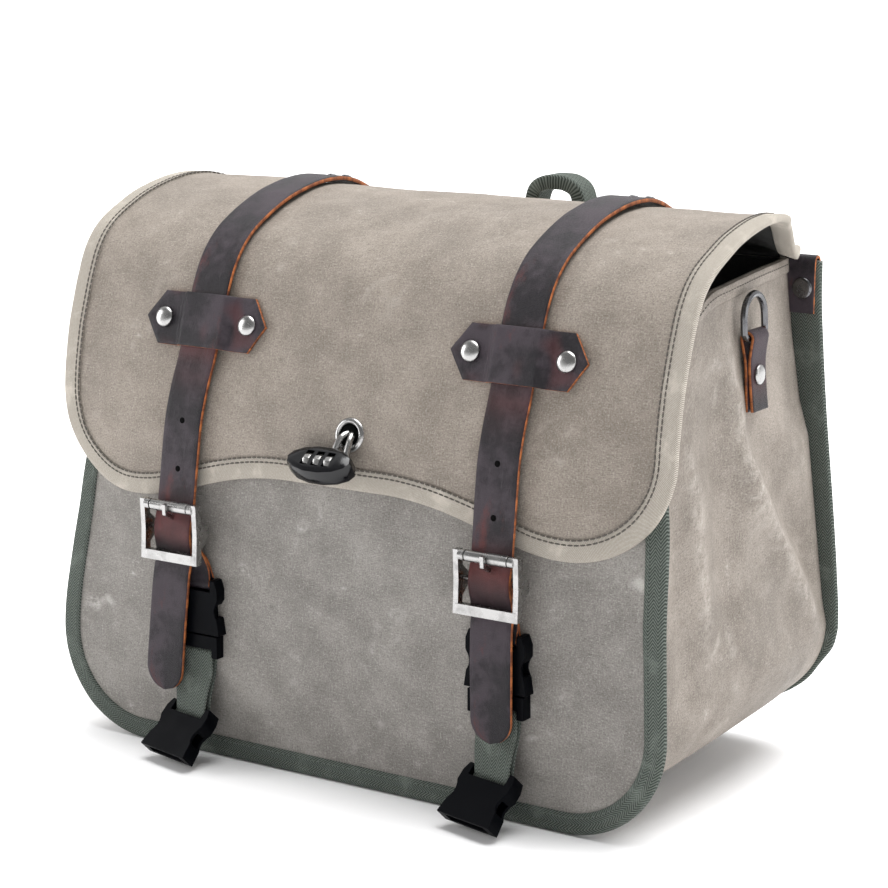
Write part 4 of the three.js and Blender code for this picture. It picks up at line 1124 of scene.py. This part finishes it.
def add_ring_tab(name):
    """Leather folded round the D-ring's bar and riveted to the side of the bag."""
    sign = SIDES[name]
    centre = np.array([sign * 183.6, 20.5, 230.0])
    tilt = math.atan2(11, 241)
    up = np.array([-sign * math.sin(tilt), 0.0, math.cos(tilt)])
    out = np.array([sign * math.cos(tilt), 0.0, math.sin(tilt)])
    bar = arc(0, 17, 3.35, 205, -25, 11)
    view = np.vstack([[(-1.1, -22), (-1.15, -10), (-1.2, 4)], bar, [(1.2, 4), (1.5, -10), (2.2, -22)]])
    view = spline(view, 90)
    line = centre + view[:, :1] * out + view[:, 1:] * up
    worn = 0.4 * np.clip(ripple(view[:, 1], view[:, 0], 14, 8.0) + 0.4, 0, 1)
    add_leather(f"ring_tab_{name}", line, (0, 1, 0), 18.0, 2.1, worn=worn)
    add_rivet(f"ring_tab_rivet_{name}", TAB_DOME, "nickel", centre + up * -3 + out * 2.3, out)


def add_corner_patch(name):
    """Leather folded over the top corner of the back panel, with its rivet in front."""
    view = spline([
        (102.7, 249), (102.8, 262), (102.8, 274), (101, 279.2), (98.6, 280.2), (96.4, 279), (95.6, 273),
        (95.4, 262), (95.4, 249),
    ], 80)
    add_leather(f"corner_patch_{name}", at_x(SIDES[name] * 172.5, view), (1, 0, 0), 19.0, 2.0)
    place = SIDES[name] * 175.0, 94.4, 263.0
    add_rivet(f"corner_rivet_{name}", PATCH_DOME, "gunmetal", place, (0, -1, 0))


def add_handle():
    """An arched loop of webbing standing on the back edge of the flap."""
    low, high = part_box("carry_handle")
    middle = centre_of("carry_handle")
    thick, sag = 8.4, 2.5  # webbing folded double, a little lower than the CAD's
    half = ((high[0] - low[0]) / MM - thick) / 2
    base, top = low[2] / MM, high[2] / MM - sag - thick / 2
    arch = np.array([
        (-half, base), (-half, base + 16), (-half + 1, top - 16), (-half * 0.78, top - 5),
        (-half * 0.4, top - 0.7), (0, top),
    ])
    view = spline(np.vstack([arch, arch[-2::-1] * [-1, 1]]), 100)
    line = np.column_stack([middle[0] + view[:, 0], np.full(len(view), middle[1]), view[:, 1]])
    loop = band("handle_tape", line, (0, 1, 0), (high[1] - low[1]) / MM, thick, GREEN, GREEN)
    stand_for(loop, "carry_handle")


def add_rack_strap(name):
    """Webbing sewn to the back panel and looped round its plug's bar."""
    sewn = [(101.9, 83), (101.9, 74), (102.1, 64), (104.8, 50), (107.2, 42)]
    view = spline(np.vstack([sewn, arc(108, 34, 2.2, 150, -150, 11), [(104.4, 44), (102.4, 56)]]), 90)
    line = at_x(centre_of(f"rack_strap_{name}")[0], view)
    web = band(f"rack_strap_{name}_tape", line, (1, 0, 0), STRAP_WIDTH, 1.4, GREEN, GREEN)
    stand_for(web, f"rack_strap_{name}")


EYELET_PLACE = 9.0, -103.5, 196.0
EYELET_SECTION = [
    (6.0, -3.4), (6.0, 0.8), (6.4, 1.5), (7.1, 1.85), (7.9, 1.75), (8.8, 1.2), (9.3, 0.5), (9.3, 0.2),
    (6.6, 0.2), (6.6, -3.4),
]
# Profile of the black disc in the eyelet's bore: painted shade of the hole.
BORE_SHADE_DISC = [(0.02, 0.7), (6.3, 0.7), (6.3, 0.0), (0.02, 0.0)]


def add_eyelet():
    """A rolled nickel eyelet in the flap, and a black disc in its bore as painted shade."""
    lean = math.atan2(5, 20)
    out = np.array([0.0, -math.cos(lean), math.sin(lean)])
    angles = np.linspace(0, 2 * np.pi, 56, endpoint=False)
    turn = np.array(Vector(out).to_track_quat("Z", "Y").to_matrix())
    rings = np.array([[(r * np.cos(a), r * np.sin(a), h) for r, h in EYELET_SECTION] for a in angles])
    rings = placed(rings @ turn.T + np.array(EYELET_PLACE))
    count = len(EYELET_SECTION)
    stand_for(swept("eyelet_ring", rings, [NICKEL], [0] * count, np.zeros(count), True), "eyelet")
    goes_with(turned("eyelet_bore_shade", BORE_SHADE_DISC, HOLE_SHADE_LOOK, EYELET_PLACE, out), "flap")


# ---------------------------------------------------------------- hard parts, shown as the CAD made them

# Each kind's slot and the width in millimetres by which its edges are rounded.
HARD_PARTS = {
    "roller_buckle": ("nickel", 0.55), "roller": ("nickel", 0.3), "prong": ("nickel", 0.4),
    "tab_socket": ("black_plastic", 0.55), "link_plug": ("black_plastic", 0.5),
    "lower_socket": ("black_plastic", 0.55), "rack_plug": ("black_plastic", 0.5),
    "strap_rivet": ("gunmetal", 0.2), "d_ring": ("gunmetal", 0.2),
    "lock_staple": ("nickel", 0.3), "padlock_body": ("lock_black", 0.45), "padlock_shackle": ("nickel", 0.2),
    "padlock_dial": ("nickel", 0.2), "back_stiffener": ("board", 0.4),
}


WELD_DISTANCE = 1e-6
SHARP_DEGREES = 34  # edges sharper than this are rounded


def dress(node, slot, bevel):
    """Gives a CAD node its finish, soft edges and smooth shading without touching its shape."""
    obj = frame["nodes"][node]
    mesh = obj.data
    for spare in ("custom_normal", "sharp_edge", "sharp_face"):
        if spare in mesh.attributes:
            mesh.attributes.remove(mesh.attributes[spare])
    mesh.materials.clear()
    mesh.materials.append(HARD_LOOKS[slot])
    mesh.polygons.foreach_set("use_smooth", np.ones(len(mesh.polygons), dtype=bool))
    weld = obj.modifiers.new("weld", "WELD")
    weld.merge_threshold = WELD_DISTANCE
    round_off = obj.modifiers.new("round", "BEVEL")
    round_off.width = bevel * MM
    round_off.segments = 3
    round_off.limit_method = "ANGLE"
    round_off.angle_limit = math.radians(SHARP_DEGREES)
    round_off.harden_normals = True


def add_hard_parts():
    for node, obj in frame["nodes"].items():
        if obj.hide_render:
            continue
        kind = max((k for k in HARD_PARTS if node.startswith(k)), key=len)
        dress(node, *HARD_PARTS[kind])


# ---------------------------------------------------------------- stage


def add_light(name, place, aim, size, power):
    data = bpy.data.lights.new(name, "AREA")
    data.shape = "RECTANGLE"
    data.size, data.size_y = size
    data.energy = power
    light = bpy.data.objects.new(name, data)
    light.location = place
    light.rotation_euler = (Vector(aim) - Vector(place)).to_track_quat("-Z", "Y").to_euler()
    bpy.context.collection.objects.link(light)


def add_studio_world():
    """A white backdrop behind the bag and round the horizon, falling to grey above and in front of it."""
    s = Shader("studio", "worlds", "Background")
    bpy.context.scene.world = s.owner
    _, depth, height = s.split(s.coords("Generated"))
    backdrop, horizon = s.remap(depth, -0.35, 0.45, 0.31, 1.05), s.remap(height, 0.12, 0.22, 1.05, 0.0)
    s.finish(Strength=s.math("MAXIMUM", backdrop, horizon), Color=(1, 1, 1))


def add_floor():
    reach, gap = 60.0, 0.0005
    s = Shader("studio_floor")
    tone = s.mix(s.noise(s.coords("Object"), 60, 3), (0.93, 0.93, 0.935), (0.96, 0.96, 0.965))
    look = s.finish(Base_Color=tone, Roughness=0.9, Specular_IOR_Level=0.1)
    corners = [(-reach, -reach, 0), (reach, -reach, 0), (reach, reach, 0), (-reach, reach, 0)]
    mesh = bpy.data.meshes.new("floor")
    mesh.from_pydata(corners, [], [(0, 1, 2, 3)])
    mesh.materials.append(look)
    floor = bpy.data.objects.new("floor", mesh)
    floor.location.z = CAD_BOX[0][2] - gap
    bpy.context.collection.objects.link(floor)


def add_lights():
    """A wide soft sun from above and behind, a card to the left of the front and one beside the right end."""
    sun = bpy.data.lights.new("overhead", "SUN")
    sun.energy = 4.6
    sun.angle = math.radians(55)
    overhead = bpy.data.objects.new("overhead", sun)
    overhead.rotation_euler = Vector((-0.10, -0.22, -1.0)).to_track_quat("-Z", "Y").to_euler()
    bpy.context.collection.objects.link(overhead)
    aim = (0, 0, 0.15)
    add_light("left_card", (-1.25, -0.62, 0.55), aim, (0.6, 0.8), 9)
    add_light("right_card", (1.6, 0.35, 0.75), aim, (0.8, 1.0), 4.0)


def add_camera():
    azimuth, elevation, distance = math.radians(33.17), math.radians(12.13), 1.4398
    target = Vector((0.0006, SHIFT * MM, 0.1715))
    level = math.cos(elevation)
    back_off = Vector((math.sin(azimuth) * level, -math.cos(azimuth) * level, math.sin(elevation)))
    data = bpy.data.cameras.new("camera")
    data.lens = 103.3
    data.sensor_width = 36.0
    camera = bpy.data.objects.new("camera", data)
    camera.location = target + back_off * distance
    camera.rotation_euler = (-back_off).to_track_quat("-Z", "Y").to_euler()
    bpy.context.collection.objects.link(camera)
    bpy.context.scene.camera = camera


# ---------------------------------------------------------------- everything

add_panel("front", front, u_outline(FRONT_CORNER, FRONT_SIDE, front_s), chalky(17.0, 0.75))
add_panel("back", back, u_outline(BACK_CORNER, BACK_SIDE, back_s), chalky(19.0, 0.4), FLANGE)
add_gusset()
add_base_board()
add_flap()
add_handle()
add_eyelet()
for side_name in SIDES:
    add_strap(side_name)
    add_keeper(side_name)
    add_buckle_tab(side_name)
    add_link_web(side_name)
    add_ring_tab(side_name)
    add_corner_patch(side_name)
    add_rack_strap(side_name)
add_hard_parts()
add_studio_world()
add_floor()
add_lights()
add_camera()
bpy.context.scene.view_settings.view_transform = "Standard"
